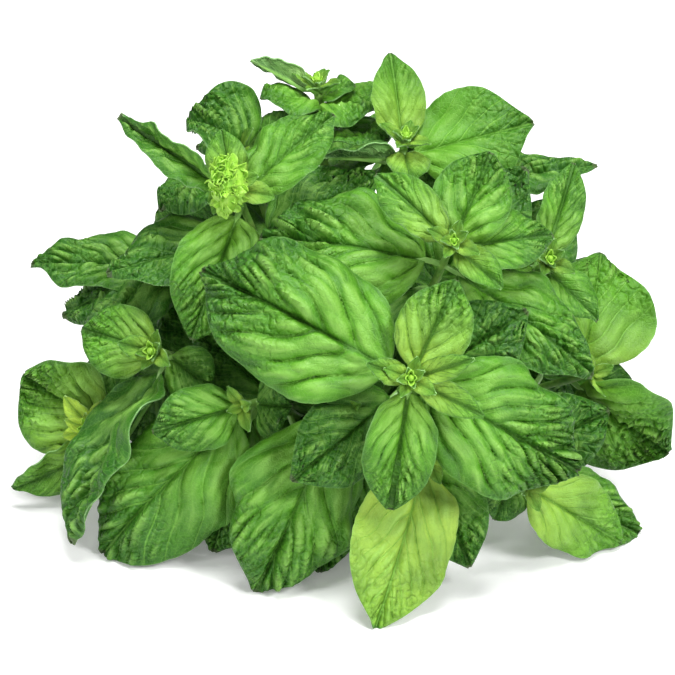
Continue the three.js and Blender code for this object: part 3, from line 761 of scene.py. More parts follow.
# %% Blanks to shape leaves and stalks from
END_FACE = 0.9  # a face whose normal is this much along Z closes an end
PITH_RING = 0.28


def deselect_all():
    bpy.ops.object.select_all(action="DESELECT")


def select_only(one):
    deselect_all()
    one.select_set(True)
    bpy.context.view_layer.objects.active = one


def blade_blank(name, columns, rows):
    """A flat square from -1 to 1 with this many faces across and along."""
    deselect_all()
    bpy.ops.mesh.primitive_grid_add(x_subdivisions=columns, y_subdivisions=rows, size=2)
    blank = bpy.context.object
    blank.name = name
    return blank


def stalk_blank(name, sides, rings):
    """A closed tube along Z from -1 to 1, with rings along it and a pith ring inset at each end."""
    deselect_all()
    bpy.ops.mesh.primitive_cylinder_add(vertices=sides, radius=1, depth=2, end_fill_type="NGON")
    blank = bpy.context.object
    blank.name = name
    select_only(blank)
    bpy.ops.object.mode_set(mode="EDIT")
    bpy.ops.mesh.select_mode(type="EDGE")
    bpy.ops.mesh.select_all(action="DESELECT")
    bpy.ops.object.mode_set(mode="OBJECT")
    for edge in blank.data.edges:
        ends = [blank.data.vertices[i].co.z for i in edge.vertices]
        edge.select = abs(ends[0] - ends[1]) > 1
    bpy.ops.object.mode_set(mode="EDIT")
    bpy.ops.mesh.subdivide_edgering(number_cuts=rings, interpolation="LINEAR")
    bpy.ops.mesh.select_mode(type="FACE")
    bpy.ops.mesh.select_all(action="DESELECT")
    bpy.ops.object.mode_set(mode="OBJECT")
    for face in blank.data.polygons:
        face.select = abs(face.normal.z) > END_FACE
    bpy.ops.object.mode_set(mode="EDIT")
    bpy.ops.mesh.inset(thickness=PITH_RING, use_individual=True)
    bpy.ops.object.mode_set(mode="OBJECT")
    return blank


blade_blanks = {
    "broad": blade_blank("broad_blade_blank", 60, 84),
    "middling": blade_blank("middling_blade_blank", 34, 46),
    "young": blade_blank("young_blade_blank", 18, 26),
    "lower": blade_blank("lower_blade_blank", 24, 32),
    "tiny": blade_blank("tiny_blade_blank", 12, 16),
    "bract": blade_blank("bract_blade_blank", 8, 12),
}
stalk_blanks = {
    "stem": stalk_blank("stem_blank", 16, 64),
    "rib": stalk_blank("rib_blank", 8, 18),
}
blanks = {**blade_blanks, **stalk_blanks}
print({name: len(blank.data.polygons) for name, blank in blanks.items()}, "faces")

# %% [markdown]
# A material is a tree of small nodes, each of which works something out for every point. A few helpers
# keep the tree readable: one makes a node, and the others stand for a sum, a soft step from one value
# to another, a blend of two colours, and a noise.

# %% Helpers for materials


def node(tree, kind, **settings):
    made = tree.nodes.new(kind)
    for key, value in settings.items():
        setattr(made, key, value)
    return made


def join_up(tree, source, target):
    tree.links.new(source, target)


def worked_out(tree, operation, first, second=None, third=None):
    made = node(tree, "ShaderNodeMath", operation=operation)
    for socket, value in zip(made.inputs, (first, second, third)):
        if isinstance(value, (int, float)):
            socket.default_value = value
        elif value is not None:
            join_up(tree, value, socket)
    return made.outputs[0]


def ramped(tree, value, low, high, to_low=0.0, to_high=1.0):
    """value goes smoothly from to_low to to_high as it runs from low to high."""
    made = node(tree, "ShaderNodeMapRange", interpolation_type="SMOOTHSTEP")
    join_up(tree, value, made.inputs["Value"])
    for name, number in (("From Min", low), ("From Max", high), ("To Min", to_low), ("To Max", to_high)):
        made.inputs[name].default_value = number
    return made.outputs[0]


def mixed(tree, share, first, second):
    """The first colour, turning to the second as share goes to 1. Colours may be sockets."""
    made = node(tree, "ShaderNodeMix", data_type="RGBA")
    join_up(tree, share, made.inputs[0])
    for socket, value in ((made.inputs[6], first), (made.inputs[7], second)):
        if isinstance(value, tuple):
            socket.default_value = (*value, 1)
        else:
            join_up(tree, value, socket)
    return made.outputs[2]


def noisy(tree, vector, scale, detail=2.0, roughness=0.5):
    made = node(tree, "ShaderNodeTexNoise")
    join_up(tree, vector, made.inputs["Vector"])
    made.inputs["Scale"].default_value = scale
    made.inputs["Detail"].default_value = detail
    made.inputs["Roughness"].default_value = roughness
    return made.outputs[0]


def attribute(tree, name):
    return node(tree, "ShaderNodeAttribute", attribute_name=name).outputs["Fac"]


def uv_parts(tree, name):
    """A UV map as a vector, and its two parts."""
    whole = node(tree, "ShaderNodeUVMap", uv_map=name).outputs[0]
    parts = node(tree, "ShaderNodeSeparateXYZ")
    join_up(tree, whole, parts.inputs[0])
    return whole, parts.outputs[0], parts.outputs[1]


def bumped(tree, shader, height, strength, distance):
    """Relief that is too fine for the mesh."""
    bump = node(tree, "ShaderNodeBump")
    bump.inputs["Strength"].default_value = strength
    bump.inputs["Distance"].default_value = distance * MM
    join_up(tree, height, bump.inputs["Height"])
    join_up(tree, bump.outputs[0], shader.inputs["Normal"])


def new_material(name):
    material = bpy.data.materials.new(name)
    material.use_nodes = True
    return material, material.node_tree, material.node_tree.nodes["Principled BSDF"]


print("materials before the first one is made:", len(bpy.data.materials))

# %% [markdown]
# A leaf's patterns follow its own veins. The vein numbers that shaped the pillows are kept on the mesh
# as a UV map, so the painted veins lie exactly in the furrows. Another map holds the blade's own
# millimetres. The net of fine veins is a Voronoi pattern on those, so it doesn't stretch. Streaks are a
# noise drawn out along the veins, and the outer half of a broad blade has small crinkles besides.

# %% Patterns on a leaf
SIDE_VEIN = (0.035, 0.11)  # a side vein fades out between these, in vein distances
SIDE_VEIN_THINS = 0.06
MIDDLE_VEIN = (0.15, 0.6)  # and the midrib between these, in mm
NET_SCALE = 0.62
NET_LINE = (0.02, 0.14)
PATCH_SCALE = 52.0
GRAIN_SCALE = 1.6
STREAKS_PER_VEIN = 4.2
STREAKS_ACROSS = 3.0
STREAK_DRIFT = 0.1
CRINKLE_SCALE = 0.26


def leaf_veins(tree, vein_x, vein_y, place_y):
    """1 on the midrib and the side veins, 0 between them. Side veins thin out towards the margin."""
    count = worked_out(tree, "FRACT", vein_x)
    from_vein = worked_out(tree, "MINIMUM", count, worked_out(tree, "SUBTRACT", 1.0, count))
    thin = worked_out(tree, "MULTIPLY_ADD", vein_y, SIDE_VEIN_THINS, 0.0)
    side_vein = ramped(tree, worked_out(tree, "ADD", from_vein, thin), *SIDE_VEIN, 1.0, 0.0)
    out = worked_out(tree, "ABSOLUTE", place_y)
    middle_vein = ramped(tree, out, *MIDDLE_VEIN, 1.0, 0.0)
    return worked_out(tree, "MAXIMUM", side_vein, middle_vein)


def vein_net(tree, place):
    net = node(tree, "ShaderNodeTexVoronoi", feature="DISTANCE_TO_EDGE", voronoi_dimensions="2D")
    join_up(tree, place, net.inputs["Vector"])
    net.inputs["Scale"].default_value = NET_SCALE
    return ramped(tree, net.outputs["Distance"], *NET_LINE, 1.0, 0.0)


def leaf_streaks(tree, vein_x, vein_y, place_y):
    """A noise between the side veins, drawn out along them, and not the same on both halves."""
    along_veins = node(tree, "ShaderNodeCombineXYZ")
    parts = ((vein_x, STREAKS_PER_VEIN), (vein_y, STREAKS_ACROSS), (place_y, STREAK_DRIFT))
    for socket, (part, scale) in zip(along_veins.inputs, parts):
        join_up(tree, worked_out(tree, "MULTIPLY", part, scale), socket)
    return noisy(tree, along_veins.outputs[0], 1.0, 4.0, 0.6)


def leaf_patterns(tree):
    """Everything that a leaf's colour, shine and relief are made from, as sockets."""
    _, vein_x, vein_y = uv_parts(tree, "vein")
    place, _, place_y = uv_parts(tree, "spot")
    solid = node(tree, "ShaderNodeTexCoord").outputs["Object"]
    crinkles = worked_out(tree, "SUBTRACT", noisy(tree, place, CRINKLE_SCALE, 1.0, 0.4), 0.5)
    return SimpleNamespace(
        youth=attribute(tree, "youth"), swell=attribute(tree, "swelling"),
        smooth=attribute(tree, "smooth"), crinkled=attribute(tree, "crinkled"),
        rim=vein_y, veins=leaf_veins(tree, vein_x, vein_y, place_y), net=vein_net(tree, place),
        patches=noisy(tree, solid, PATCH_SCALE, 3.0, 0.6), grain=noisy(tree, place, GRAIN_SCALE, 2.0),
        streaks=leaf_streaks(tree, vein_x, vein_y, place_y), crinkles=worked_out(tree, "ABSOLUTE", crinkles),
    )


print("the net's cells are about", round(1 / NET_SCALE, 1), "mm wide")

# %% [markdown]
# A fresh leaf is a soft, waxy green that shines in broad patches. Painted shade darkens the furrows and the
# crinkle folds, and painted highlights make the tops of the pillows and the margin paler. A young leaf is
# more yellow all over, most at its base. On a smooth leaf the veins themselves are pale. The very tip of a
# broad blade has begun to dry. The under side is paler and duller, with its veins raised. Colours are laid
# one over another, as with glazes, from the tissue's own green to the dry tip.

# %% Leaf materials
OLD_GREEN = (0.028, 0.130, 0.005)
MID_GREEN = (0.080, 0.264, 0.009)
YOUNG_GREEN = (0.34, 0.53, 0.065)
BUD_YELLOW = (0.48, 0.72, 0.05)
# Dark green of the random patches and dark streaks, and also painted shade in the furrows and crinkle folds.
DEEP_GREEN_AND_SHADE = (0.012, 0.080, 0.004)
VEIN_GREEN = (0.20, 0.46, 0.060)
# Pale green of the pale streaks, and also a painted highlight on the pillows' tops.
PALE_GREEN_AND_HIGHLIGHT = (0.25, 0.49, 0.085)
# A painted highlight along the blade's margin.
MARGIN_HIGHLIGHT = (0.20, 0.46, 0.09)
DRY_GREEN = (0.06, 0.09, 0.03)
LEAF_RELIEF = 0.4  # mm


def tissue_green(tree, leaf):
    """The green of the tissue from old to young, with dark patches and streaks of both kinds."""
    green = mixed(tree, ramped(tree, leaf.youth, 0.05, 0.5), OLD_GREEN, MID_GREEN)
    green = mixed(tree, ramped(tree, leaf.youth, 0.45, 1.0), green, YOUNG_GREEN)
    green = mixed(tree, ramped(tree, leaf.youth, 1.0, 1.3), green, BUD_YELLOW)
    green = mixed(tree, ramped(tree, leaf.patches, 0.42, 0.72, 0.0, 0.5), green, DEEP_GREEN_AND_SHADE)
    streaked = ramped(tree, leaf.smooth, 0.1, 0.7, 1.0, 0.15)
    dark_streak = worked_out(tree, "MULTIPLY", ramped(tree, leaf.streaks, 0.5, 0.72, 0.0, 0.62), streaked)
    pale_streak = worked_out(tree, "MULTIPLY", ramped(tree, leaf.streaks, 0.3, 0.5, 0.4, 0.0), streaked)
    green = mixed(tree, dark_streak, green, DEEP_GREEN_AND_SHADE)
    return mixed(tree, pale_streak, green, PALE_GREEN_AND_HIGHLIGHT)


def leaf_colour(tree, leaf, vein_share):
    """The tissue's green, with painted shade in the furrows and crinkle folds, painted highlights on the
    pillows' tops and the margin, and paler veins.
    """
    # Painted shade along the fold lines of the crinkles on a broad blade's outer half.
    crinkle_shade = worked_out(tree, "MULTIPLY", ramped(tree, leaf.crinkles, 0.0, 0.05, 0.5, 0.0), leaf.crinkled)
    green = mixed(tree, crinkle_shade, tissue_green(tree, leaf), DEEP_GREEN_AND_SHADE)
    # Painted shade: darker where the relief is low, in the furrows between the pillows.
    green = mixed(tree, ramped(tree, leaf.swell, -0.2, 0.48, 0.85, 0.0), green, DEEP_GREEN_AND_SHADE)
    # Painted highlight: paler where the relief is high, on the tops of the pillows.
    green = mixed(tree, ramped(tree, leaf.swell, 0.42, 0.82, 0.0, 0.46), green, PALE_GREEN_AND_HIGHLIGHT)
    green = mixed(tree, worked_out(tree, "MULTIPLY", leaf.net, 0.12), green, VEIN_GREEN)
    vein_shows = ramped(tree, leaf.smooth, 0.0, 1.0, vein_share, 0.75)
    green = mixed(tree, worked_out(tree, "MULTIPLY", leaf.veins, vein_shows), green, VEIN_GREEN)
    # Painted highlight along the margin.
    green = mixed(tree, ramped(tree, leaf.rim, 0.955, 1.0, 0.0, 0.3), green, MARGIN_HIGHLIGHT)
    return mixed(tree, ramped(tree, leaf.youth, -0.45, -0.1, 0.8, 0.0), green, DRY_GREEN)


def leaf_relief(tree, leaf, vein_height, net_height):
    """Veins and net, sunk above and raised below, with grain, streaks and crinkles."""
    relief = worked_out(tree, "MULTIPLY_ADD", leaf.veins, vein_height, 0.0)
    relief = worked_out(tree, "MULTIPLY_ADD", leaf.net, net_height, relief)
    relief = worked_out(tree, "MULTIPLY_ADD", leaf.grain, 0.4, relief)
    relief = worked_out(tree, "MULTIPLY_ADD", leaf.streaks, -1.6, relief)
    crinkle = worked_out(tree, "MULTIPLY", ramped(tree, leaf.crinkles, 0.0, 0.14, 0.0, 5.0), leaf.crinkled)
    return worked_out(tree, "ADD", crinkle, relief)


def leaf_upper_side():
    material, tree, shader = new_material("leaf_upper_side")
    leaf = leaf_patterns(tree)
    join_up(tree, leaf_colour(tree, leaf, 0.15), shader.inputs["Base Color"])
    join_up(tree, ramped(tree, leaf.grain, 0.3, 0.7, 0.46, 0.58), shader.inputs["Roughness"])
    shader.inputs["Specular IOR Level"].default_value = 0.34
    bumped(tree, shader, leaf_relief(tree, leaf, -1.0, -0.35), 0.6, LEAF_RELIEF)
    return material


def leaf_under_side():
    material, tree, shader = new_material("leaf_under_side")
    leaf = leaf_patterns(tree)
    pale = node(tree, "ShaderNodeHueSaturation")
    pale.inputs["Saturation"].default_value = 0.78
    pale.inputs["Value"].default_value = 1.5
    join_up(tree, leaf_colour(tree, leaf, 0.6), pale.inputs["Color"])
    join_up(tree, pale.outputs[0], shader.inputs["Base Color"])
    join_up(tree, ramped(tree, leaf.grain, 0.3, 0.7, 0.6, 0.7), shader.inputs["Roughness"])
    shader.inputs["Specular IOR Level"].default_value = 0.25
    bumped(tree, shader, leaf_relief(tree, leaf, 1.4, 0.4), 0.6, LEAF_RELIEF)
    return material


leaf_upper, leaf_under = leaf_upper_side(), leaf_under_side()
print("materials:", leaf_upper.name, leaf_under.name)

# %% [markdown]
# Basil stems are juicy and pale green, with faint lines along them. Where one was cut, the pith shows
# as a paler disc. The buds are the youngest growth, so they are yellow-green and matt. All four are one
# kind of tissue between two greens, so one function makes them.

# %% Stem, pith and bud materials
TISSUE_STRETCH = (1.0, 0.25, 1.0)


def plain_tissue(name, pale, deep, scale, roughness, relief):
    """A juicy plant tissue between two greens, with a fine grain."""
    material, tree, shader = new_material(name)
    solid = node(tree, "ShaderNodeTexCoord").outputs["Object"]
    stretched = node(tree, "ShaderNodeMapping")
    stretched.inputs["Scale"].default_value = TISSUE_STRETCH
    join_up(tree, solid, stretched.inputs["Vector"])
    patches = noisy(tree, stretched.outputs[0], scale, 3.0, 0.6)
    grain = noisy(tree, solid, scale * 5, 2.0)
    join_up(tree, mixed(tree, ramped(tree, patches, 0.35, 0.7), pale, deep), shader.inputs["Base Color"])
    dull = ramped(tree, grain, 0.3, 0.7, roughness - 0.06, roughness + 0.06)
    join_up(tree, dull, shader.inputs["Roughness"])
    bumped(tree, shader, worked_out(tree, "ADD", patches, grain), 0.5, relief)
    return material


stem_skin = plain_tissue("stem_skin", (0.23, 0.44, 0.08), (0.12, 0.30, 0.045), 260.0, 0.42, 0.2)
rib_skin = plain_tissue("rib_skin", (0.26, 0.50, 0.11), (0.16, 0.38, 0.06), 260.0, 0.42, 0.1)
cut_pith = plain_tissue("cut_pith", (0.62, 0.70, 0.40), (0.50, 0.62, 0.30), 900.0, 0.55, 0.15)
bud_tissue = plain_tissue("bud_tissue", (0.31, 0.57, 0.055), (0.22, 0.48, 0.036), 420.0, 0.5, 0.2)
print("materials:", stem_skin.name, rib_skin.name, cut_pith.name, bud_tissue.name)

# %% [markdown]
# Now a blade is a copy of a blank whose points are moved to the leaf's form. Its vein numbers and its
# millimetres go into two UV maps. Its youth, its relief, how smooth it is and where it crinkles go into
# attributes, for the materials. A blade is younger at its base than at its tip, where it began to grow.

# %% Shape one blade
BLADE_SKIN = 0.5  # thickness of the dressed blade
YOUNGER_BASE = 0.44  # a blade is this much younger at its base than at its tip
WITHERED_FROM = 0.965  # from this share on, the very tip of a broad blade is dry
WITHERED_WIDTH = 15.0
CRINKLED_FROM = 0.42  # crinkles begin at this share
CRINKLED_OVER = 0.3
CRINKLED_WIDTH = 18.0  # only on blades wider than this, and fully on blades wider by the next
CRINKLED_WIDER = 12.0


def copy_of(blank, name):
    mesh = blank.data.copy()
    mesh.name = name
    made = bpy.data.objects.new(name, mesh)
    bpy.context.scene.collection.objects.link(made)
    return made


def coordinates(mesh):
    flat = np.empty(len(mesh.vertices) * 3)
    mesh.vertices.foreach_get("co", flat)
    return flat.reshape(-1, 3)


def without_uv(mesh):
    while mesh.uv_layers:
        mesh.uv_layers.remove(mesh.uv_layers[0])


def set_uv(mesh, name, values):
    layer = mesh.uv_layers.get(name) or mesh.uv_layers.new(name=name)
    corners = np.empty(len(mesh.loops), dtype=np.int32)
    mesh.loops.foreach_get("vertex_index", corners)
    layer.data.foreach_set("uv", values[corners].ravel())


def set_value(mesh, name, values):
    mesh.attributes.new(name, "FLOAT", "POINT").data.foreach_set("value", values)


def shaped_blade(blank, name, arc, leaf, key, materials):
    made = copy_of(blank, name)
    mesh = made.data
    square = coordinates(mesh)
    even = (square[:, 1] + 1) / 2
    share = 0.5 * even + 0.5 * (1 - np.cos(math.pi * even)) / 2  # rows closer together near both ends
    spot, vein, place, relief = blade_points(arc, leaf, blade_grid(arc, leaf, share, square[:, 0]), key)
    mesh.vertices.foreach_set("co", (spot * MM).ravel())
    without_uv(mesh)
    set_uv(mesh, "vein", vein)
    set_uv(mesh, "spot", place)
    withered = np.clip((share - WITHERED_FROM) / (1 - WITHERED_FROM), 0, 1) * (leaf["wide"] > WITHERED_WIDTH)
    set_value(mesh, "youth", leaf["youth"] + YOUNGER_BASE * (0.5 - share) - withered)
    set_value(mesh, "smooth", np.full(len(spot), float(leaf["smooth"])))
    broad = min(1, max(0, leaf["wide"] - CRINKLED_WIDTH) / CRINKLED_WIDER) * (1 - leaf["smooth"])
    set_value(mesh, "crinkled", np.clip((share - CRINKLED_FROM) / CRINKLED_OVER, 0, 1) * broad)
    # The relief from which the material paints shade in the furrows and highlights on the pillows.
    set_value(mesh, "swelling", relief)
    for material in materials:
        mesh.materials.append(material)
    return made


print("the broadest blank has", len(blade_blanks["broad"].data.vertices), "points to shape")

# %% [markdown]
# A stem is a stalk blank pulled along the stem's run. Basil's stem is square with round corners, it
# thickens where a pair of leaves grows, and at its tip it closes. A leaf's stalk is a thinner one. It
# runs on under the blade as the midrib, just below the furrow that shows on top.

# %% Shape one stalk
NODE_SWELL = 0.22  # how much thicker the stem is where leaves grow
NODE_REACH = 2.2
SQUARE = 0.07
SLIMMER = 0.9  # the dressed stem's thickness, of the solid's
TIP_POINT = 0.3
TIP_CLOSES = 1.2  # over this length in mm
STALK_POINTS = 241
RIB_FOOT = 1.0
RIB_TAPER = 0.7
RIB_SLIMMER = 0.95
RIB_LEAST = 0.16
RIB_REACH = 0.9  # how far along the leaf its midrib stands out below
UNDER_BLADE_OVER = 0.1  # share of the blade over which the midrib dips under it


def shaped_stalk(blank, name, place, side, up, radius, materials):
    """place, side, up and radius are given for shares from 0 to 1 along the stalk."""
    made = copy_of(blank, name)
    mesh = made.data
    tube = coordinates(mesh)
    share = (tube[:, 2] + 1) / 2
    centre, across, above = place(share), side(share), up(share)
    thick = radius(share) * (1 + SQUARE * np.cos(4 * np.arctan2(tube[:, 1], tube[:, 0])))
    spots = centre + across * (tube[:, 0] * thick)[:, None] + above * (tube[:, 1] * thick)[:, None]
    spots[:, 2] = np.maximum(spots[:, 2], 0)
    foot = [face.index for face in mesh.polygons if face.normal.z < -END_FACE]
    mesh.vertices.foreach_set("co", (spots * MM).ravel())
    without_uv(mesh)
    for material in materials:
        mesh.materials.append(material)
    if len(materials) > 1:
        for index in foot:
            mesh.polygons[index].material_index = 1
    return made


def stem_path(stem):
    """The stem's whole length, from its cut end to its tip, and its points and ways along it."""
    run = stem["run"]
    straight = run["corners"][0] - run["cut"]
    bare = np.linalg.norm(straight)
    whole = bare + run["length"]
    points, ways = [], []
    for gone in whole * np.linspace(0, 1, STALK_POINTS):
        if gone < bare:
            point, way = run["cut"] + straight * gone / bare, unit(straight)
        else:
            point, way = stem_at(run, whole - gone)
        points.append(point)
        ways.append(way)
    return whole, np.array(points), np.array(ways)


def stem_stalk(name, stem):
    whole, points, ways = stem_path(stem)
    sides = RIGHT - ways * ways[:, :1]
    sides = sides / np.linalg.norm(sides, axis=1)[:, None]
    ups = np.cross(ways, sides)
    joints = sorted({whole - leaf["below"] for leaf, _ in stem["grown"]})
    fine = np.linspace(0, 1, STALK_POINTS)

    def along(table):
        return lambda share: np.column_stack([np.interp(share, fine, table[:, i]) for i in range(3)])

    def radius(share):
        thick = FOOT_RADIUS + (TIP_RADIUS - FOOT_RADIUS) * share
        for joint in joints:
            thick = thick * (1 + NODE_SWELL * np.exp(-(((share * whole - joint) / NODE_REACH) ** 2)))
        return SLIMMER * thick * np.minimum(1, TIP_POINT + (1 - share) * whole / TIP_CLOSES)

    run = (along(points), along(sides), along(ups))
    return shaped_stalk(stalk_blanks["stem"], name, *run, radius, [stem_skin, cut_pith])


def leaf_stalk(name, arc, leaf, materials):
    """The leaf's stalk and, running on under the blade, its midrib."""
    total = arc["total"]
    start = min(RIB_FOOT, NARROW_STALK * leaf["wide"])
    reach = RIB_REACH * total
    depth = midrib_depth(leaf)

    def place(share):
        middle, _, face, _ = on_midrib(arc, share * reach)
        past_stalk = (share * reach / total - PETIOLE_SHARE) / (1 - PETIOLE_SHARE)
        under = np.clip(past_stalk / UNDER_BLADE_OVER, 0, 1) * (depth + radius(share))
        return middle - face * under[:, None]

    def side(share):
        return on_midrib(arc, share * reach)[3]

    def up(share):
        return -on_midrib(arc, share * reach)[2]

    def radius(share):
        return start * (1 - share) ** RIB_TAPER * RIB_SLIMMER + RIB_LEAST

    return shaped_stalk(stalk_blanks["rib"], name, place, side, up, radius, materials)


print("stems are", round(2 * SLIMMER * FOOT_RADIUS, 1), "mm thick at the cut")

# %% [markdown]
# Round each tip sit the youngest leaves, which have only just opened. They are too small to be solids
# of their own, so they grow here, in rings. Each is a chord from the stem, turned round it and lifted
# towards its tip, and gets its arc as any other leaf does. Most tips with a bud have two rings of four.
# Round the opened bud they spread wide, and at the far left they are larger and as yellow as the bud.

# %% The youngest leaves
STAR = ((0.8, 7.0, 3.6, 52, 20, 4), (2.0, 10.5, 5.4, 34, 65, 4))
YOUNGEST = ((0.6, 8.0, 4.4, 50, 20, 2), (1.6, 10.0, 5.0, 30, 110, 2))
RINGS = {  # by stem: how far below the tip, length, width, lift, first turn, how many
    "upper_left": ((1.5, 10.0, 6.0, 10, 10, 5), (3.5, 13.0, 8.0, -10, 100, 3)),
    "far_left": ((0.8, 10.0, 5.0, 46, 20, 5), (2.0, 15.0, 7.5, 26, 50, 5)),
}
RING_YOUTH = {"far_left": 1.36}
STAR_YOUTH = 0.74
STAR_FORM = {"droop": 36, "fold": 26, "cup": -30, "roll": 0, "smooth": 0.3, "rows": [0, 0.5, 1], "tiny": True}
TURN_UNEVEN = 9
SIZE_UNEVEN = 0.16


def star_leaf(stem, below, long, wide, lift, turn, youth):
    point, along = stem_at(stem["run"], below)
    leaf = {
        "chord": lambda along: around(along, turn, lift) * long,
        "wide": wide, "below": below, "youth": youth, **STAR_FORM,
    }
    return leaf, midrib(point, along, leaf)


def star_leaves(name, stem):
    """The youngest leaves, close round the stem's tip."""
    rings = RINGS.get(name, STAR if stem["bud"] else YOUNGEST)
    youth = RING_YOUTH.get(name, STAR_YOUTH)
    made = []
    for below, long, wide, lift, first, many in rings:
        for i in range(many):
            turn = first + 360 / many * i + TURN_UNEVEN * math.sin(5.1 * i + below)
            size = 1 + SIZE_UNEVEN * math.sin(3.3 * i + 2 * below)
            made.append(star_leaf(stem, below, long * size, wide * size, lift, turn, youth))
    return made


print("youngest leaves:", sum(len(star_leaves(name, stem)) for name, stem in STEMS.items()))

# %% [markdown]
# A stem's blades are joined first and given their thickness together by one Solidify modifier, which
# also gives the under side its own material. Then the stalks and the stem are joined on, and the whole
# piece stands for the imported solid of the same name. It rides on the bunch's only body.

# %% Grow the leafy stems
BROAD_FROM = 52  # length of a leaf in mm
MIDDLING_FROM = 30
SMOOTH_UP_TO = math.radians(50)
KEY_STEP = 3.7  # every leaf has its own place in the noises


def joined(objects, name):
    deselect_all()
    for one in objects:
        one.select_set(True)
    bpy.context.view_layer.objects.active = objects[0]
    bpy.ops.object.join()
    made = bpy.context.object
    made.name = name
    made.data.name = name
    return made


def thickened(made, thickness):
    select_only(made)
    skin = made.modifiers.new("thickness", "SOLIDIFY")
    skin.thickness = thickness * MM
    skin.offset = 0.0
    skin.material_offset = 1
    skin.material_offset_rim = 1
    bpy.ops.object.modifier_apply(modifier=skin.name)
    return made


def blank_for(leaf, arc):
    if "tiny" in leaf:
        return blade_blanks["tiny"]
    if "chord" in leaf:
        return blade_blanks["lower"]
    if arc["total"] > BROAD_FROM:
        return blade_blanks["broad"]
    return blade_blanks["middling" if arc["total"] > MIDDLING_FROM else "young"]


def dressed(piece, cad_node):
    select_only(piece)
    bpy.ops.object.shade_smooth_by_angle(angle=SMOOTH_UP_TO)
    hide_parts(cad_node)
    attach(piece, "root")


key = 0
triangles = 0
for name, stem in STEMS.items():
    blades, stalks = [], [stem_stalk("stalk", stem)]
    for leaf, arc in stem["grown"] + star_leaves(name, stem):
        key += 1
        blank = blank_for(leaf, arc)
        blades.append(shaped_blade(blank, "blade", arc, leaf, KEY_STEP * key, [leaf_upper, leaf_under]))
        stalks.append(leaf_stalk("rib", arc, leaf, [rib_skin]))
    piece = joined([thickened(joined(blades, "blades"), BLADE_SKIN)] + stalks, "leafy_stem_" + name)
    dressed(piece, "stem_" + name)
    piece.data.calc_loop_triangles()
    triangles += len(piece.data.loop_triangles)
    print(piece.name, len(piece.data.loop_triangles), "triangles")
print("leafy stems:", triangles, "triangles in all")

# %% [markdown]
# A small bud is two pairs of tiny leaves, still closed round each other and round a small ball. The
# large one at the upper left has opened into a ruffled mass: more than a hundred tiny leaves sit on an
# egg-shaped heap and stand out from it. Both kinds are built from the same blade as the leaves, only
# tiny, so the blade and the ball are made ready first.

# %% Pieces of a bud
BUD_GAP = 0.4
BRACT_SKIN = 0.35
BALL_LOBES = 0.1
BRACT_ROWS = {"below": 0, "youth": 1.0, "smooth": 0, "rows": [0, 0.5, 1]}


def bract(along, start, leaf, key):
    """One tiny leaf of a bud. Its form is given as a leaf's is."""
    leaf = {**BRACT_ROWS, **leaf}
    arc = midrib(start, along, leaf)
    return shaped_blade(blade_blanks["bract"], "bract", arc, leaf, key, [bud_tissue, bud_tissue])


def bud_ball(middle, along, size, stretch):
    """A small round ball with four faint lobes, a little longer than it is wide."""
    deselect_all()
    bpy.ops.mesh.primitive_uv_sphere_add(segments=12, ring_count=8, radius=size * MM)
    ball = bpy.context.object
    spots = coordinates(ball.data) / MM
    reach = np.dot(spots, along)[:, None] * along
    spots = spots + reach * (stretch - 1)
    spots = spots * (1 + BALL_LOBES * np.cos(4 * np.arctan2(spots[:, 1], spots[:, 0])))[:, None]
    ball.data.vertices.foreach_set("co", ((spots + middle) * MM).ravel())
    without_uv(ball.data)
    ball.data.materials.append(bud_tissue)
    return ball


print("a bud's tiny leaf has", len(blade_blanks["bract"].data.polygons), "faces on each side")

# %% [markdown]
# In a closed bud the two pairs stand crosswise, nearly upright, and are cupped towards each other. The
# shorter pair is steeper. The ball between them keeps the bud full when it is seen from above.

# %% A closed bud
CLOSED_PAIRS = ((0.8, 72), (0.98, 66))  # length, of the bud's size, and lift of the two pairs
CLOSED_WIDE = 0.56
CLOSED_FORM = {"droop": -34, "cup": 70, "fold": 12, "roll": 0}
CLOSED_START = 0.1
CORE_UP = 0.4
CORE_SIZE = 0.24
CORE_STRETCH = 1.5


def closed_bud(point, along, size, key):
    foot = point + along * BUD_GAP
    bracts = []
    for i in range(4):
        share, lift = CLOSED_PAIRS[i % 2]
        chord = around(along, 90 * i, lift) * share * size
        leaf = {"chord": lambda _, chord=chord: chord, "wide": CLOSED_WIDE * size, **CLOSED_FORM}
        start = foot + around(along, 90 * i, 0) * CLOSED_START * size
        bracts.append(bract(along, start, leaf, key + i))
    return bracts, bud_ball(foot + along * CORE_UP * size, along, CORE_SIZE * size, CORE_STRETCH)


print("pairs in a closed bud:", len(CLOSED_PAIRS))

# %% [markdown]
# The opened bud looks ruffled because no two of its leaves agree. Each sits somewhere on the heap and
# points away from its middle, and seeded draws turn, fold, curl and roll it. Placed by hand they would
# look too orderly, and a particle system would be lost in the export.

# %% The opened bud
LEAFLETS = 120
HEAP_ABOVE = 0.34  # the heap's middle above the tip, of the bud's size
HEAP_LOWER = 0.1
HEAP_WIDE = 0.2
HEAP_TALL = 0.24
HEAP_CORE = 0.36
HEAP_CORE_STRETCH = 1.7
LEAFLET_LIFTS = (-25, 88)
LEAFLET_LONG = (0.2, 0.34)
LEAFLET_WIDE = (0.55, 0.8)
LEAFLET_TURN_STRAY = 50
LEAFLET_LIFT_STRAY = 30
LEAFLET_BEND = 0.4


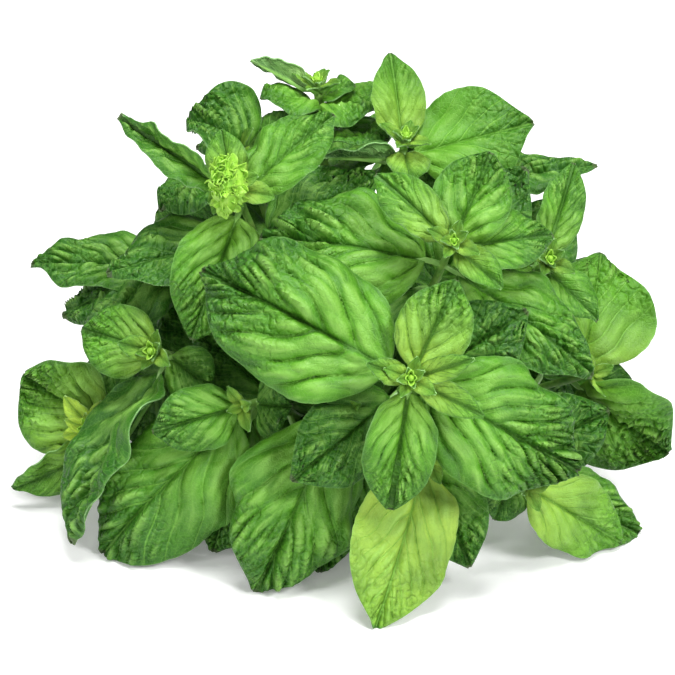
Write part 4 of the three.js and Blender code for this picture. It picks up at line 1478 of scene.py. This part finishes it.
def open_bud(point, along, size, key):
    """Tiny leaves on an egg-shaped heap, each pointing away from its middle."""
    middle = point + along * (BUD_GAP + HEAP_ABOVE * size) - UP * HEAP_LOWER * size
    bracts = []
    for i in range(LEAFLETS):
        turn, lift = between(0, 360), between(*LEAFLET_LIFTS)
        outward = around(along, turn, lift)
        start = middle + HEAP_WIDE * size * outward + HEAP_TALL * size * UP * np.dot(outward, UP)
        long = between(*LEAFLET_LONG) * size
        turn = turn + between(-LEAFLET_TURN_STRAY, LEAFLET_TURN_STRAY)
        lift = min(LEAFLET_LIFTS[1], lift + between(-LEAFLET_LIFT_STRAY, LEAFLET_LIFT_STRAY))
        chord = around(along, turn, lift) * long
        leaf = {
            "chord": lambda _, chord=chord: chord, "wide": between(*LEAFLET_WIDE) * long,
            "droop": between(20, 90), "fold": between(0, 40), "cup": between(-70, 10),
            "roll": between(-60, 60),
        }
        bend = unit(outward + LEAFLET_BEND * unit(np.cross(outward, RIGHT + UP)))
        bracts.append(bract(bend, start, leaf, key + i))
    return bracts, bud_ball(middle, UP, HEAP_CORE * size, HEAP_CORE_STRETCH)


print("tiny leaves in the opened bud:", LEAFLETS)

# %% [markdown]
# The tiny leaves of a bud are joined and thickened like the leaves of a stem, the ball is joined on,
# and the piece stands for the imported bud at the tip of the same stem. The blanks have then done their
# work.

# %% Grow the buds
OPEN_BUD = 10  # a bud larger than this has opened
KEYS_APART = 30

for name, stem in STEMS.items():
    if not stem["bud"]:
        continue
    key += KEYS_APART
    point, along = stem_at(stem["run"], 0)
    shape = open_bud if stem["bud"] > OPEN_BUD else closed_bud
    bracts, ball = shape(point, along, stem["bud"], KEY_STEP * key)
    piece = joined([thickened(joined(bracts, "bracts"), BRACT_SKIN), ball], "tip_bud_" + name)
    dressed(piece, "bud_" + name)
    low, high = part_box("bud_" + name)
    solid = [round((b - a) / MM, 1) for a, b in zip(low, high)]
    print(piece.name, len(piece.data.polygons), "faces, its solid is", solid, "mm")

for blank in blanks.values():
    bpy.data.objects.remove(blank)

# %% [markdown]
# The bunch was photographed on white, under wide soft light. A large plane stands for the table. It glows a
# little, a painted glow though it is no lamp, so its shadows stay pale. Four round area lights do the
# rest: a broad one overhead that gives the leaves their soft shine, a strong one from the right that
# shapes them, and weaker ones from the left and the front that lift the shadows. A pale world fills the
# hollows.

# %% Table and light
TABLE_WIDE = 8.0  # m, as the lights' places and sizes
TABLE_WHITE = 0.9
# The table's painted glow, so that its shadows stay pale.
TABLE_GLOW = 0.16
WORLD_GLOW = 0.19
LIGHTS = {  # place, size and watts
    "overhead": ((0.1, -0.1, 1.5), 0.8, 26.0),
    "from_right": ((1.0, -1.1, 1.2), 0.5, 22.5),
    "from_left": ((-1.2, -1.1, 1.0), 0.6, 9.0),
    "from_front": ((-0.2, -1.9, 1.2), 1.0, 6.0),
}


def soft_light(name, place, wide, watts):
    """A round area light that points at the heart of the bunch."""
    data = bpy.data.lights.new(name, "AREA")
    data.shape = "DISK"
    data.size = wide
    data.energy = watts
    light = bpy.data.objects.new(name, data)
    light.location = place
    light.rotation_euler = (Vector(HEART * MM) - Vector(place)).to_track_quat("-Z", "Y").to_euler()
    bpy.context.scene.collection.objects.link(light)


deselect_all()
bpy.ops.mesh.primitive_plane_add(size=TABLE_WIDE)
table = bpy.context.object
table.name = "white_table"
table_white, _, table_shader = new_material("table_white")
table_shader.inputs["Base Color"].default_value = (TABLE_WHITE, TABLE_WHITE, TABLE_WHITE, 1)
table_shader.inputs["Roughness"].default_value = 0.9
table_shader.inputs["Emission Color"].default_value = (1, 1, 1, 1)
# A painted glow: the table is no lamp, but glows so that its shadows stay pale.
table_shader.inputs["Emission Strength"].default_value = TABLE_GLOW
table_shader.inputs["Specular IOR Level"].default_value = 0.1
table.data.materials.append(table_white)

for name, (place, wide, watts) in LIGHTS.items():
    soft_light(name, place, wide, watts)
world = bpy.data.worlds.new("pale_room")
world.use_nodes = True
world.node_tree.nodes["Background"].inputs["Color"].default_value = (1, 1, 1, 1)
world.node_tree.nodes["Background"].inputs["Strength"].default_value = WORLD_GLOW
bpy.context.scene.world = world
bpy.context.scene.view_settings.view_transform = "Standard"
